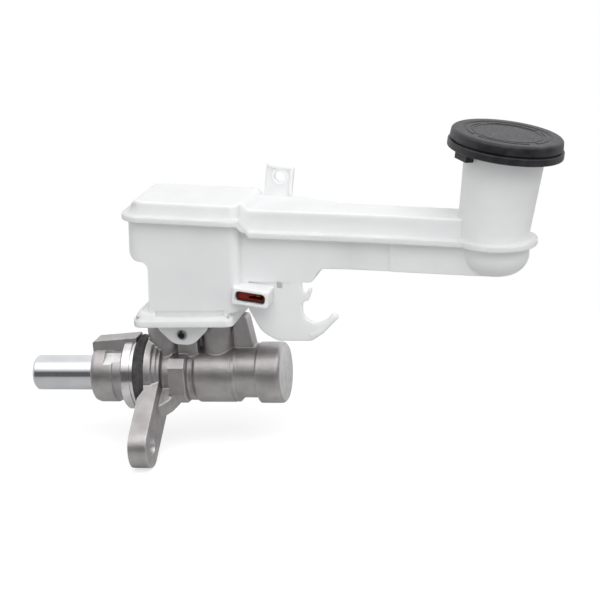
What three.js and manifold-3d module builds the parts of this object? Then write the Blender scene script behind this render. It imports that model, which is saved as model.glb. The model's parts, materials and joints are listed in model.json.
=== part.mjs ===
// Tandem brake master cylinder with a remote-filler fluid reservoir.
//
// Millimetres. Every dimension along the bore is measured from the plane where the ears meet the booster,
// and the finished assembly is moved so that its origin is where the pushrod bears on the piston.
// +X runs along the bore to its closed end, +Y to the outlet ports, +Z up to the reservoir.

import * as THREE from 'three';
import { mergeVertices } from 'three/addons/utils/BufferGeometryUtils.js';
import Module from 'manifold-3d';

const wasm = await Module();
wasm.setup();

// ---------------------------------------------------------------- driving dimensions

const GAP = 0.3;            // clearance between neighbouring pieces
const BEYOND = 1;           // how far a cutter runs past the face that it opens
const ROUND = 24;           // facets round a large turned surface
const SMALL_ROUND = 14;     // facets round a small one

const BORE = { radius: 9.6, end: 70 };
const PISTON = { radius: 9.5, tip: -65.5, front: 4.5, cavity: 7.8, floor: -18 };
const PUSHROD_SEAT = { x: -30, radius: 5.6, chamfer: 1 };
const SECOND_PISTON = { rear: 15.5, front: 49.5, floor: 32, stubHole: 4.2, stubDepth: 5 };
const SEAL = { length: 4, rootRadius: 12.4, radius: 12.2, grip: 9.75 };
const SEAL_STARTS = {
  primary_secondary_seal: -16,
  primary_pressure_seal: -2,
  secondary_secondary_seal: 28,
  secondary_pressure_seal: 43.5,
};

const NOSE = { start: -29.6, radius: 16, relief: 15.3, guideBore: 13, guideEnd: -17.5, ringGroove: 13.9 };
const PILOT = { start: -11.5, end: -4.2, radius: 19.8, seat: 17.4 };
const FLANGE = { front: 10.2, hubBack: 2, hubRadius: 20.5 };
const EAR = { reach: 49, angle: 35, halfWidth: 11.3, hole: 4.25 };
const BARREL = { radius: 15, bigRadius: 16, bigStart: 27.8, bigEnd: 50.6 };
const WAIST = { start: 52.7, end: 62.8, radius: 13.6, fill: 14.7, rise: 1.2 };
const END_COLLAR = { end: 76, radius: 16.5, rim: 1.8 };

const INLET = { xs: [10.5, 40.3], radius: 9.4, top: 32.4, seatRadius: 7.6, seatFloor: 22, drill: 2.7 };
const OUTLET = { xs: [16, 57.5], radius: 8.5, face: 25, thread: 5, threadEnd: 13, drill: 2 };
const PIN = { x: 24.9, z: 26.4, radius: 2.5, wall: 0.7, half: 17.6 };

const RESERVOIR_TILT = 4;   // degrees, the filler end hangs lower than the bore line
const WALL = 2.2;
const SEAM = { tank: 92.3, arm: 85, rampStart: 55.5, rampEnd: 60.5, overhang: 3.2, half: 1.6 };
const TANK = { left: -5.2, waist: 6.8, shelf: 69, right: 55.2, half: 22.5, top: 101.2 };
const NIPPLE = { outer: 5.1, inner: 2.8 };
const RISER = { near: 1, far: 3.7, half: 2.4, depth: 3, height: 4 };
const ARM = { half: 11, top: 97.6, bottom: 67.5, chamberEnd: 93, chamberBottom: 59 };
const NECK = { x: 185.1, tilt: 7.1, baseRadius: 18.2, topRadius: 20.8, top: 48.5 };
const BOWL = { x: 187, floor: 67.2, flat: 6, bend: 11.4, ringRadius: 20.8 };
const SKIRT = { bottom: 33, knee: 36.5, flare: 4.5, floor: 40.5, half: 25.5, left: 0.2, right: 55.5 };

const TAB = { x: 67.5, width: 15.2, height: 17.2, front: 19, back: 21.4, hole: 3, holeZ: 108.2 };
const CAP = { top: 56.6, bottom: 46.8, radius: 28.9, ringRadius: 29.8, split: 50.9 };
const FLOAT = { x: 74, radius: 8, bottom: 74, top: 83.5, post: 2.2 };
const SOCKET = { x: [53, 72.4], z: [48.8, 57.8], y: [-25, 10], tilt: 5.6 };
const HOOK_PLATE = { front: -12.8, back: -10.4 };

// ---------------------------------------------------------------- materials

function finish(color, roughness, metalness) {
  return new THREE.MeshStandardMaterial({ color, roughness, metalness });
}

const castAluminium = finish(0x8b8889, 0.5, 0.9);
const polishedSteel = finish(0xc9cacc, 0.2, 1);
const springSteel = finish(0x9a9a9c, 0.35, 1);
const blackRubber = finish(0x1c1c1d, 0.8, 0);
const brass = finish(0xb08d4a, 0.35, 1);
const milkyPlastic = finish(0xe8e9ea, 0.45, 0);
const blackPlastic = finish(0x18181a, 0.5, 0);
const redRubber = finish(0x8a2a1c, 0.6, 0);
const whitePlastic = finish(0xd9d9d6, 0.5, 0);
const foamBlack = finish(0x2a2a2b, 0.9, 0);
const magnetGrey = finish(0x4a4a4d, 0.4, 0.6);

// ---------------------------------------------------------------- geometry helpers

/** The closed three.js geometry as a solid that can be cut and joined. */
function solid(shape) {
  if (!shape.isBufferGeometry) return shape;
  const bare = shape.clone();
  bare.deleteAttribute('normal');
  bare.deleteAttribute('uv');
  const merged = mergeVertices(bare, 1e-4);
  const corners = merged.index.array;
  const kept = [];
  for (let i = 0; i < corners.length; i += 3) {
    const [a, b, c] = [corners[i], corners[i + 1], corners[i + 2]];
    if (a !== b && b !== c && c !== a) kept.push([a, b, c]);
  }
  const vertProperties = new Float32Array(merged.attributes.position.array);
  const build = (faces) => new wasm.Manifold(
    new wasm.Mesh({ numProp: 3, vertProperties, triVerts: new Uint32Array(faces.flat()) }),
  );
  const outward = build(kept);
  return outward.volume() > 0 ? outward : build(kept.map(([a, b, c]) => [a, c, b]));
}

/** A solid's surface as a three.js geometry, ready to be moved or drawn. */
function geometryOf(shape) {
  const { numProp, vertProperties, triVerts } = solid(shape).getMesh();
  const positions = new Float32Array((vertProperties.length / numProp) * 3);
  for (let i = 0; i * 3 < positions.length; i += 1) {
    positions.set(vertProperties.subarray(i * numProp, i * numProp + 3), i * 3);
  }
  const geometry = new THREE.BufferGeometry();
  geometry.setAttribute('position', new THREE.BufferAttribute(positions, 3));
  geometry.setIndex(new THREE.BufferAttribute(new Uint32Array(triVerts), 1));
  return geometry;
}

function join(first, ...others) {
  return others.reduce((sum, next) => sum.add(solid(next)), solid(first));
}

function cut(first, ...tools) {
  return tools.reduce((rest, tool) => rest.subtract(solid(tool)), solid(first));
}

function common(first, ...others) {
  return others.reduce((rest, next) => rest.intersect(solid(next)), solid(first));
}

/** A solid of revolution about the given axis through `at`; the profile is [along, radius] pairs. */
function turned(axis, profile, at = [0, 0, 0], facets = ROUND) {
  const points = profile.map(([along, radius]) => new THREE.Vector2(radius, along));
  const shape = new THREE.LatheGeometry(points, facets);
  if (axis === 'x') shape.rotateZ(-Math.PI / 2);
  if (axis === 'z') shape.rotateX(Math.PI / 2);
  return shape.translate(...at);
}

/** A plain round bar along the given axis. */
function bar(axis, radius, from, to, at = [0, 0, 0], facets = SMALL_ROUND) {
  return turned(axis, [[from, 0], [from, radius], [to, radius], [to, 0]], at, facets);
}

/** A ring with a rectangular section round the given axis. */
function ring(axis, inner, outer, from, to, at = [0, 0, 0], facets = ROUND) {
  const profile = [[from, inner], [from, outer], [to, outer], [to, inner], [from, inner]];
  return turned(axis, profile, at, facets);
}

/** An outline swept along an axis: [x, z] pairs along y, [y, z] pairs along x, [x, y] along z. */
function prism(axis, outline, from, to) {
  const shape = new THREE.Shape(outline.map(([a, b]) => new THREE.Vector2(a, b)));
  const swept = new THREE.ExtrudeGeometry(shape, { depth: to - from, bevelEnabled: false });
  if (axis === 'z') return swept.translate(0, 0, from);
  if (axis === 'y') return swept.rotateX(Math.PI / 2).translate(0, to, 0);
  return swept.rotateX(Math.PI / 2).rotateZ(Math.PI / 2).translate(from, 0, 0);
}

function box([x0, y0, z0], [x1, y1, z1]) {
  const shape = new THREE.BoxGeometry(x1 - x0, y1 - y0, z1 - z0);
  return shape.translate((x0 + x1) / 2, (y0 + y1) / 2, (z0 + z1) / 2);
}

/** A polygon whose corners [x, y, radius] are rounded by an arc where a radius is given. */
function rounded(corners, steps = 4) {
  const points = [];
  corners.forEach(([x, y, radius = 0], i) => {
    if (!radius) {
      points.push([x, y]);
      return;
    }
    const here = new THREE.Vector2(x, y);
    const before = new THREE.Vector2(...corners.at(i - 1)).sub(here).normalize();
    const after = new THREE.Vector2(...corners[(i + 1) % corners.length]).sub(here).normalize();
    const half = Math.acos(before.dot(after)) / 2;
    const middle = before.clone().add(after).setLength(radius / Math.sin(half)).add(here);
    const start = before.multiplyScalar(radius / Math.tan(half)).add(here).sub(middle);
    const end = after.multiplyScalar(radius / Math.tan(half)).add(here).sub(middle);
    const turn = Math.atan2(start.cross(end), start.dot(end));
    for (let step = 0; step <= steps; step += 1) {
      const arm = start.clone().rotateAround(new THREE.Vector2(), (turn * step) / steps);
      points.push([middle.x + arm.x, middle.y + arm.y]);
    }
  });
  return points;
}

const degrees = THREE.MathUtils.degToRad;

/** Mirrors a point of the [y, z] plane or outline through the bore axis. */
const opposite = (outline) => outline.map(([y, z]) => [-y, -z]);

// ---------------------------------------------------------------- cylinder body

/** The centre of the near ear's bolt hole in the [y, z] plane; the far ear is opposite. */
function earCentre() {
  const away = degrees(180 + EAR.angle);
  return [EAR.reach * Math.cos(away), EAR.reach * Math.sin(away)];
}

/** The straight-sided outline of the near ear in the [y, z] plane, from the bore axis to its tip. */
function earOutline() {
  const [y, z] = earCentre();
  const away = degrees(180 + EAR.angle);
  const points = [];
  const steps = 12;
  for (let step = 0; step <= steps; step += 1) {
    const angle = away - Math.PI / 2 + (Math.PI * step) / steps;
    points.push([y + EAR.halfWidth * Math.cos(angle), z + EAR.halfWidth * Math.sin(angle)]);
  }
  for (const side of [1, -1]) {
    const angle = away + (side * Math.PI) / 2;
    points.push([EAR.halfWidth * Math.cos(angle), EAR.halfWidth * Math.sin(angle)]);
  }
  return points;
}

/** The rib that stiffens one ear against the barrel; `turn` swings it from straight down. */
function gusset(turn) {
  const rib = prism('y', [[9, -12], [20.5, -12], [19, -17.5], [15.5, -23], [9, -28]], -5, 5);
  return rib.rotateX(degrees(turn));
}

function ears() {
  const near = earOutline();
  return [
    prism('x', near, 0, FLANGE.front),
    prism('x', opposite(near), 0, FLANGE.front),
    gusset(EAR.angle - 90),
    gusset(EAR.angle + 90),
  ];
}

/** The flat key on top of the nose, which rises towards the flange. */
function noseKey() {
  const side = [[-30.3, 12], [-30.3, 18.3], [-28.7, 19.6], [-4.5, 21.5], [-4.5, 12]];
  return prism('y', side, -6, 6);
}

/** Fills the waist off centre: up to the barrel on top, where the fin stands, and not at all below. */
function saddle() {
  return bar('x', WAIST.fill, BARREL.bigEnd - 1, WAIST.end + 0.4, [0, 0, WAIST.rise], ROUND);
}

function casting() {
  const outside = turned('x', [
    [NOSE.start, 0],
    [NOSE.start, NOSE.radius - 1.2],
    [NOSE.start + 3, NOSE.radius],
    [-17.6, NOSE.radius],
    [-17.6, NOSE.relief],
    [PILOT.start, NOSE.relief],
    [PILOT.start, PILOT.radius - 0.6],
    [PILOT.start + 0.8, PILOT.radius],
    [-6.4, PILOT.radius],
    [-6.4, PILOT.radius - 0.9],
    [-5.7, PILOT.radius - 0.9],
    [-5.7, PILOT.radius],
    [0, PILOT.radius],
    [0, FLANGE.hubRadius],
    [6, FLANGE.hubRadius],
    [6, FLANGE.hubRadius - 0.7],
    [8.3, FLANGE.hubRadius - 0.7],
    [8.3, FLANGE.hubRadius - 1.4],
    [FLANGE.front, FLANGE.hubRadius - 1.4],
    [FLANGE.front, BARREL.radius],
    [BARREL.bigStart, BARREL.radius],
    [BARREL.bigStart + 1, BARREL.bigRadius],
    [BARREL.bigEnd, BARREL.bigRadius],
    [WAIST.start, WAIST.radius],
    [WAIST.end, WAIST.radius],
    [WAIST.end, END_COLLAR.radius],
    [END_COLLAR.end - END_COLLAR.rim, END_COLLAR.radius],
    [END_COLLAR.end, END_COLLAR.radius - END_COLLAR.rim],
    [END_COLLAR.end, 0],
  ]);
  return join(outside, saddle(), noseKey(), ...ears());
}

/** Bosses, lugs and blocks that stand on the barrel. */
function bosses() {
  const inlets = INLET.xs.map((x) => bar('z', INLET.radius, 4, INLET.top, [x, 0, 0], ROUND));
  const outlets = OUTLET.xs.map((x) => bar('y', OUTLET.radius, 4, OUTLET.face, [x, 0, 0], ROUND));
  const fin = [[49.4, 8], [50, 27], [53.5, 32.6, 2], [57.6, 32.8, 2], [60.4, 16, 3], [61.5, 8]];
  const block = [[-19.2, -7], [-14.5, -12.5], [-8, -13], [-8, 13], [-15, 13], [-19.2, 8.4]];
  return [
    ...inlets,
    ...outlets,
    prism('y', rounded(fin, 3), -4.5, 4.5),
    prism('x', block, 15.6, 24.7),
    box([19.5, -9, 8], [30.5, 9, 31]),
  ];
}

/** Everything that is bored, drilled or grooved out of the casting. */
function borings() {
  const [rearInlet, frontInlet] = INLET.xs;
  const sealGrooves = Object.values(SEAL_STARTS).map((x) => (
    bar('x', SEAL.rootRadius, x - 0.2, x + SEAL.length + 0.2, [0, 0, 0], ROUND)
  ));
  const feedLength = 21;
  const feed = bar('z', 1.6, -feedLength, 0, [0, 0, 0], 10);
  feed.rotateY(degrees(42)).translate(rearInlet, 0, INLET.seatFloor + 0.5);
  const seats = INLET.xs.map((x) => (
    bar('z', INLET.seatRadius, INLET.seatFloor, INLET.top + BEYOND, [x, 0, 0], ROUND)
  ));
  const ports = OUTLET.xs.flatMap((x) => [
    bar('y', OUTLET.thread, OUTLET.threadEnd, OUTLET.face + BEYOND, [x, 0, 0]),
    bar('y', OUTLET.drill, 0, OUTLET.face, [x, 0, 0], 12),
  ]);
  const [holeY, holeZ] = earCentre();
  const [recessIn, recessOut, recessDepth] = [21.5, 28, 3.2];
  const earRecess = turned('x', [
    [-BEYOND, recessIn],
    [recessDepth, recessIn],
    [0, recessOut],
    [-BEYOND, recessOut],
    [-BEYOND, recessIn],
  ]);
  const noseWindow = [[-20, 5], [-14.9, 7.9], [-6.1, 13], [-6.1, 20], [-20, 20]];
  return [
    bar('x', BORE.radius, NOSE.start - BEYOND, BORE.end, [0, 0, 0], ROUND),
    bar('x', NOSE.guideBore, NOSE.start - BEYOND, NOSE.guideEnd, [0, 0, 0], ROUND),
    bar('x', NOSE.ringGroove, NOSE.start + 0.6, NOSE.start + 1.8, [0, 0, 0], ROUND),
    ring('x', PILOT.seat, 21.6, PILOT.end, FLANGE.hubBack),
    earRecess,
    bar('x', 11, -10.5, -3.6, [0, 0, 0], ROUND),
    bar('x', 11, 33.5, 41.5, [0, 0, 0], ROUND),
    ...sealGrooves,
    ...seats,
    feed,
    bar('z', INLET.drill, 0, INLET.top, [frontInlet, 0, 0], 16),
    ...ports,
    bar('y', PIN.radius + 0.1, -40, 40, [PIN.x, 0, PIN.z]),
    bar('x', EAR.hole, -BEYOND, FLANGE.front + BEYOND, [0, holeY, holeZ]),
    bar('x', EAR.hole, -BEYOND, FLANGE.front + BEYOND, [0, -holeY, -holeZ]),
    prism('x', noseWindow, -22.3, -13.2),
    bar('x', 1.1, END_COLLAR.end - 1.5, END_COLLAR.end + BEYOND, [0, 0, 0], 12),
  ];
}

function cylinderBody() {
  return cut(join(casting(), ...bosses()), ...borings());
}

// ---------------------------------------------------------------- pieces in the bore

function primaryPiston() {
  const outside = turned('x', [
    [PISTON.tip, 0],
    [PISTON.tip, PISTON.radius - 1.4],
    [PISTON.tip + 1.4, PISTON.radius],
    [PISTON.front, PISTON.radius],
    [PISTON.front, 0],
  ]);
  const { x: seat, radius: mouth, chamfer } = PUSHROD_SEAT;
  const pushrodSocket = turned('x', [
    [PISTON.tip - BEYOND, 0],
    [PISTON.tip - BEYOND, mouth],
    [seat - chamfer, mouth],
    [seat, mouth - chamfer],
    [seat, 0],
  ], [0, 0, 0], 15);
  const springCavity = bar('x', PISTON.cavity, PISTON.floor, PISTON.front + BEYOND);
  const screwHole = bar('x', 1.5, PISTON.floor - 5, PISTON.floor + BEYOND, [0, 0, 0], 12);
  return cut(outside, pushrodSocket, springCavity, screwHole);
}

function secondaryPiston() {
  const outside = bar('x', PISTON.radius, SECOND_PISTON.rear, SECOND_PISTON.front, [0, 0, 0], ROUND);
  const rearHole = bar('x', SECOND_PISTON.stubHole, SECOND_PISTON.rear - BEYOND,
    SECOND_PISTON.rear + SECOND_PISTON.stubDepth);
  const springCavity = bar('x', PISTON.cavity, SECOND_PISTON.floor, SECOND_PISTON.front + BEYOND);
  return cut(outside, rearHole, springCavity);
}

/** A lip seal that sits in its groove, with the lips' notch on the pressure side. */
function lipSeal(start) {
  const end = start + SEAL.length;
  return turned('x', [
    [start, SEAL.grip + 0.2],
    [start, SEAL.radius],
    [end, SEAL.radius],
    [end, SEAL.radius - 0.8],
    [end - 2.2, (SEAL.grip + SEAL.radius) / 2],
    [end, SEAL.grip + 0.7],
    [end, SEAL.grip],
    [start + 1.2, SEAL.grip],
    [start, SEAL.grip + 0.2],
  ], [0, 0, 0], 20);
}

/** A coil spring along X between two faces. */
function coilSpring(from, to, radius, wire, turns) {
  const length = to - from - wire;
  class Helix extends THREE.Curve {
    getPoint(t, target = new THREE.Vector3()) {
      const angle = 2 * Math.PI * turns * t;
      return target.set(from + wire / 2 + length * t, radius * Math.cos(angle), radius * Math.sin(angle));
    }
  }
  const section = new THREE.Shape();
  const sides = 5;
  for (let side = 0; side < sides; side += 1) {
    const angle = (2 * Math.PI * side) / sides;
    const corner = [(wire / 2) * Math.cos(angle), (wire / 2) * Math.sin(angle)];
    if (side === 0) section.moveTo(...corner);
    else section.lineTo(...corner);
  }
  return new THREE.ExtrudeGeometry(section, {
    steps: Math.round(turns * 10),
    extrudePath: new Helix(),
    bevelEnabled: false,
  });
}

const RETAINER = { lip: -2, sleeve: 4.6, wall: 0.9, flange: 7.2, face: 15.2 };

function springRetainer() {
  const { lip, sleeve, wall, flange, face } = RETAINER;
  return turned('x', [
    [lip, 2.1],
    [lip, sleeve],
    [face - 1.3, sleeve],
    [face - 1.3, flange],
    [face, flange],
    [face, sleeve - wall],
    [lip + 1.4, sleeve - wall],
    [lip + 1.4, 2.1],
    [lip, 2.1],
  ], [0, 0, 0], SMALL_ROUND);
}

function retainerScrew() {
  const head = RETAINER.lip + 1.4 + GAP;
  return turned('x', [
    [PISTON.floor - 4.5, 0],
    [PISTON.floor - 4.5, 1.3],
    [head, 1.3],
    [head, 3.2],
    [head + 2, 3.2],
    [head + 2, 0],
  ], [0, 0, 0], 16);
}

function secondarySpringSeat() {
  const face = BORE.end - GAP;
  return turned('x', [
    [60, 0],
    [60, 3.4],
    [face - 1.3, 4.2],
    [face - 1.3, 8.8],
    [face, 8.8],
    [face, 0],
  ], [0, 0, 0], SMALL_ROUND);
}

// ---------------------------------------------------------------- nose, port and pin hardware

function pistonGuide() {
  return ring('x', PISTON.radius + 0.15, NOSE.guideBore - 0.15, NOSE.start + 2.1, NOSE.guideEnd - GAP);
}

/** An open retaining ring with a gap at the bottom for its pliers. */
function snapRing() {
  const whole = ring('x', 11, NOSE.ringGroove - 0.2, NOSE.start + 0.75, NOSE.start + 1.65);
  return cut(whole, box([NOSE.start, -2.5, -20], [NOSE.start + 3, 2.5, 0]));
}

function flangeSeal() {
  const [from, to] = [PILOT.end + 0.15, FLANGE.hubBack - 0.15];
  return turned('x', [
    [from, 17.6],
    [from, 20.4],
    [from + 1, 21],
    [to - 1, 21.2],
    [to, 20.8],
    [to, 17.6],
    [from, 17.6],
  ]);
}

/** A rubber bush that seals one reservoir nipple in its inlet. */
function inletGrommet() {
  const floor = INLET.seatFloor + GAP;
  return turned('z', [
    [floor, 5.4],
    [floor, INLET.seatRadius - 0.3],
    [INLET.top + 2.4, INLET.seatRadius - 0.3],
    [INLET.top + 3, INLET.seatRadius - 1],
    [INLET.top + 3, 5.4],
    [floor, 5.4],
  ], [0, 0, 0], SMALL_ROUND);
}

/** The brass cone that a flared brake pipe is pressed against. */
function outletSeat() {
  const foot = OUTLET.threadEnd + GAP;
  return turned('y', [
    [foot, 1.5],
    [foot, OUTLET.thread - 0.3],
    [foot + 1.6, OUTLET.thread - 0.3],
    [foot + 4.4, 1.9],
    [foot + 4.4, 1.5],
    [foot, 1.5],
  ], [0, 0, 0], 16);
}

/** A rolled spring pin with an open seam. */
function reservoirPin() {
  const tube = ring('y', PIN.radius - PIN.wall, PIN.radius, -PIN.half, PIN.half, [0, 0, 0], SMALL_ROUND);
  return cut(tube, box([-0.5, -PIN.half - BEYOND, 0], [0.5, PIN.half + BEYOND, PIN.radius + BEYOND]));
}

// ---------------------------------------------------------------- reservoir shells

/** The reservoir seen from above, drawn in by `inset`. */
function plan(inset) {
  const half = TANK.half - inset;
  const arm = ARM.half - inset;
  const left = TANK.left + inset;
  const right = TANK.right - inset;
  const corner = 9 - inset;
  return rounded([
    [left, half, corner],
    [left, -half, corner],
    [right, -half, Math.max(4 - inset, 1)],
    [right, -14.6 + inset, inset > 0 ? 0 : 1],
    [101, -arm - 1, 8],
    [125, -arm],
    [NECK.x, -arm],
    [NECK.x, arm],
    [104 - inset, arm, 8],
    [77 - inset, half - 1, 6],
  ]);
}

/** The parting line between the shells, raised by `lift`, from its left end to its right end. */
function seamLine(lift) {
  return [
    [-20, SEAM.tank + lift],
    [SEAM.rampStart, SEAM.tank + lift],
    [SEAM.rampEnd, SEAM.arm + lift],
    [215, SEAM.arm + lift],
  ];
}

/** The lower shell's side view, drawn in by `inset`; it runs up to the parting line or past it. */
function lowerSide(inset, lift) {
  const left = TANK.left + inset;
  const waist = TANK.waist + inset;
  const right = TANK.right - inset;
  const floorRise = (TANK.right - TANK.waist) * Math.tan(degrees(RESERVOIR_TILT));
  return rounded([
    [left, SEAM.tank + lift],
    [left, TANK.shelf + inset, 7 - inset],
    [waist, TANK.shelf + inset - 0.4, 4],
    [waist, SKIRT.floor + inset],
    [right, SKIRT.floor + floorRise + inset],
    [right, ARM.chamberBottom + inset],
    [ARM.chamberEnd - inset, ARM.chamberBottom + 0.8 + inset, 3],
    [ARM.chamberEnd + 4 - inset, ARM.bottom + inset, 4],
    [NECK.x, ARM.bottom + 0.5 + inset],
    [NECK.x, SEAM.arm + lift],
    [SEAM.rampEnd, SEAM.arm + lift],
    [SEAM.rampStart, SEAM.tank + lift],
  ]);
}

/** The round end of the arm under the neck, drawn in by `inset`. */
function armBowl(inset, top) {
  const { floor, flat, bend } = BOWL;
  const profile = [[floor + inset, 0]];
  for (const angle of [0, 30, 60, 90]) {
    const along = floor + bend - (bend - inset) * Math.cos(degrees(angle));
    profile.push([along, flat + (bend - inset) * Math.sin(degrees(angle))]);
  }
  profile.push([top, flat + bend - inset], [top, 0]);
  return turned('z', profile, [BOWL.x, 0, 0]);
}

/** The welded flange of one shell between two heights above the parting line. */
function seamFlange(low, high) {
  const band = [...seamLine(low), ...seamLine(high).reverse()];
  const strip = common(prism('y', band, -40, 40), prism('z', plan(-SEAM.overhang), 60, 110));
  const disc = bar('z', BOWL.ringRadius, SEAM.arm + low, SEAM.arm + high, [BOWL.x + 0.4, 0, 0], ROUND);
  return join(strip, disc);
}

/** A shape drawn in the bore's frame, turned back so that it fits in the tilted reservoir group. */
const levelled = (shape) => geometryOf(shape).rotateY(-degrees(RESERVOIR_TILT));

/** The flared skirt that stands over the inlet bosses, open below, in the bore's frame. */
function skirt() {
  const { bottom, knee, half, left, right, flare } = SKIRT;
  const outline = rounded([[left, half, 6], [left, -half, 6], [right, -half, 4], [right, half, 4]]);
  const shape = new THREE.Shape(outline.map(([x, y]) => new THREE.Vector2(x, y)));
  const belt = new THREE.ExtrudeGeometry(shape, {
    depth: knee - bottom,
    bevelThickness: flare,
    bevelSize: half - TANK.half,
    bevelOffset: TANK.half - half,
    bevelSegments: 1,
  });
  const heel = [[left, bottom], [left, knee], [left + 8, knee + 7], [20, knee + 7], [20, bottom]];
  const gusseted = join(
    belt.translate(0, 0, bottom),
    prism('y', heel, 6 - half, half - 6),
  );
  return cut(gusseted, box([left - 1, -half - 1, bottom - 20], [right + 1, half + 1, bottom]));
}

/** The hanging plate with its open harness hook, in the bore's frame. */
function hookPlate() {
  const outline = rounded([
    [60.5, 56],
    [61, 40, 4],
    [66, 29, 6],
    [72.5, 22, 4],
    [94.5, 21.4, 6],
    [101, 25.5, 5],
    [110.3, 34.4],
    [107.4, 37],
    [103.6, 33.4, 1],
    [97.8, 30.4, 6],
    [90.7, 35, 6],
    [91, 43.5, 3],
    [94.4, 43.6],
    [96.8, 49.5],
    [94.6, 50.4],
    [94.2, 47.4],
    [91.6, 48.4],
    [91, 56],
  ], 3);
  const plate = prism('y', outline, HOOK_PLATE.front, HOOK_PLATE.back);
  return cut(plate, box([78, -20, 50.4], [81, 0, 54]));
}

/** The lugs that the cross pin passes through, in the bore's frame. */
function pinLugs() {
  const outline = rounded([
    [11.5, 38.5], [12, 29.6, 4], [20, 21.2, 9], [30.5, 20.6, 9], [39, 28.8, 4], [40.5, 38.5],
  ], 3);
  const hole = bar('y', PIN.radius + 0.15, -40, 40, [PIN.x, 0, PIN.z]);
  return cut(join(prism('y', outline, -16.8, -14.2), prism('y', outline, 14.2, 16.8)), hole);
}

/** Turns a geometry drawn level about the sensor pocket's middle to the pocket's own tilt. */
function inSocket(shape) {
  const [x, z] = [(SOCKET.x[0] + SOCKET.x[1]) / 2, (SOCKET.z[0] + SOCKET.z[1]) / 2];
  return shape.translate(-x, 0, -z).rotateY(degrees(SOCKET.tilt)).translate(x, 0, z);
}

/** A block the size of the sensor pocket, drawn in by `inset`, between two depths. */
function socketBlock(inset, front, back) {
  const [[x0, x1], [z0, z1]] = [SOCKET.x, SOCKET.z];
  return inSocket(box([x0 + inset, front, z0 + inset], [x1 - inset, back, z1 - inset]));
}

/** The guide post that the level float slides on. */
function floatPost() {
  return bar('z', FLOAT.post, ARM.chamberBottom + 1, FLOAT.top + 4, [FLOAT.x, 0, 0], 16);
}

function reservoirLowerShell() {
  const clear = GAP / 2;
  const { left, right, half, bottom, floor } = SKIRT;
  const [socketFront, socketBack] = SOCKET.y;
  const outside = common(prism('y', lowerSide(0, -clear), -40, 40), prism('z', plan(0), 20, 110));
  const inside = common(prism('y', lowerSide(WALL, 6), -40, 40), prism('z', plan(WALL), 20, 110));
  const skirtHollow = box([left + WALL, WALL - half, bottom - 1], [right - WALL, half - WALL, floor - WALL]);
  const shell = cut(
    join(
      levelled(cut(skirt(), skirtHollow)),
      outside,
      armBowl(0, SEAM.arm - clear),
      seamFlange(-SEAM.half, -clear),
    ),
    inside,
    armBowl(WALL, SEAM.arm + 6),
  );
  const pipes = INLET.xs.map((x) => bar('z', NIPPLE.outer, INLET.seatFloor + 3, floor + 1, [x, 0, 0], 24));
  // The rear bore stops below the tank's end wall, and a riser beside it opens inside that wall.
  const [rearInlet, frontInlet] = INLET.xs;
  const bores = [
    bar('z', NIPPLE.inner, INLET.seatFloor, floor - GAP, [rearInlet, 0, 0], 16),
    bar('z', NIPPLE.inner, INLET.seatFloor, floor + 5, [frontInlet, 0, 0], 16),
    box(
      [rearInlet + RISER.near, -RISER.half, floor - RISER.depth],
      [rearInlet + RISER.far, RISER.half, floor + RISER.height],
    ),
  ];
  return cut(
    join(
      shell,
      floatPost(),
      socketBlock(0, socketFront, socketBack),
      levelled(hookPlate()),
      levelled(pinLugs()),
      ...pipes.map(levelled),
    ),
    socketBlock(1.6, socketFront - BEYOND, socketBack - 1.6),
    ...bores.map(levelled),
  );
}

/** A shape drawn about the filler neck's own axis, set on the reservoir. */
function onNeck(shape) {
  return geometryOf(shape).rotateY(degrees(NECK.tilt)).translate(NECK.x, 0, SEAM.arm);
}

function neckCone(inset, from, to) {
  const slope = (NECK.topRadius - NECK.baseRadius) / NECK.top;
  const radius = (along) => NECK.baseRadius + slope * along - inset;
  return turned('z', [[from, 0], [from, radius(from)], [to, radius(to)], [to, 0]]);
}

/** The upper shell's side view, drawn in by `inset`; it runs down to the parting line or past it. */
function upperSide(inset, lift) {
  return rounded([
    [TANK.left + inset, SEAM.tank + lift],
    [SEAM.rampStart, SEAM.tank + lift],
    [SEAM.rampEnd, SEAM.arm + lift],
    [NECK.x, SEAM.arm + lift],
    [NECK.x, ARM.top - inset],
    [TANK.right + 4 - inset, ARM.top - inset, 2],
    [TANK.right + 1 - inset, TANK.top - inset, 2],
    [TANK.left + inset, TANK.top - inset, 4 - inset],
  ]);
}

/** The upright eye at the back edge of the arm, drawn about its own foot. */
function mountingTab() {
  const { x, width, height, hole } = TAB;
  const plate = rounded([
    [x - width / 2, ARM.top - 4],
    [x + width / 2, ARM.top - 4],
    [x + width / 2, ARM.top + height, 1.5],
    [x - width / 2, ARM.top + height, 1.5],
  ], 2);
  const [low, high] = [ARM.top + height - 1.8, ARM.top + height];
  const tilt = (shape) => shape.translate(-x, 0, -ARM.top).rotateY(degrees(5.6)).translate(x, 0, ARM.top);
  return cut(
    join(
      tilt(prism('y', plate, TAB.front, TAB.back)),
      tilt(box([x - width / 2 + 1, TAB.front - 1.2, low], [x + width / 2, TAB.front + 0.5, high])),
      tilt(box([x + width / 2 - 1.8, TAB.front - 1.2, ARM.top + 2], [x + width / 2, TAB.front + 0.5, high])),
    ),
    tilt(bar('y', hole, 0, 40, [x + 0.3, 0, TAB.holeZ])),
  );
}

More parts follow.
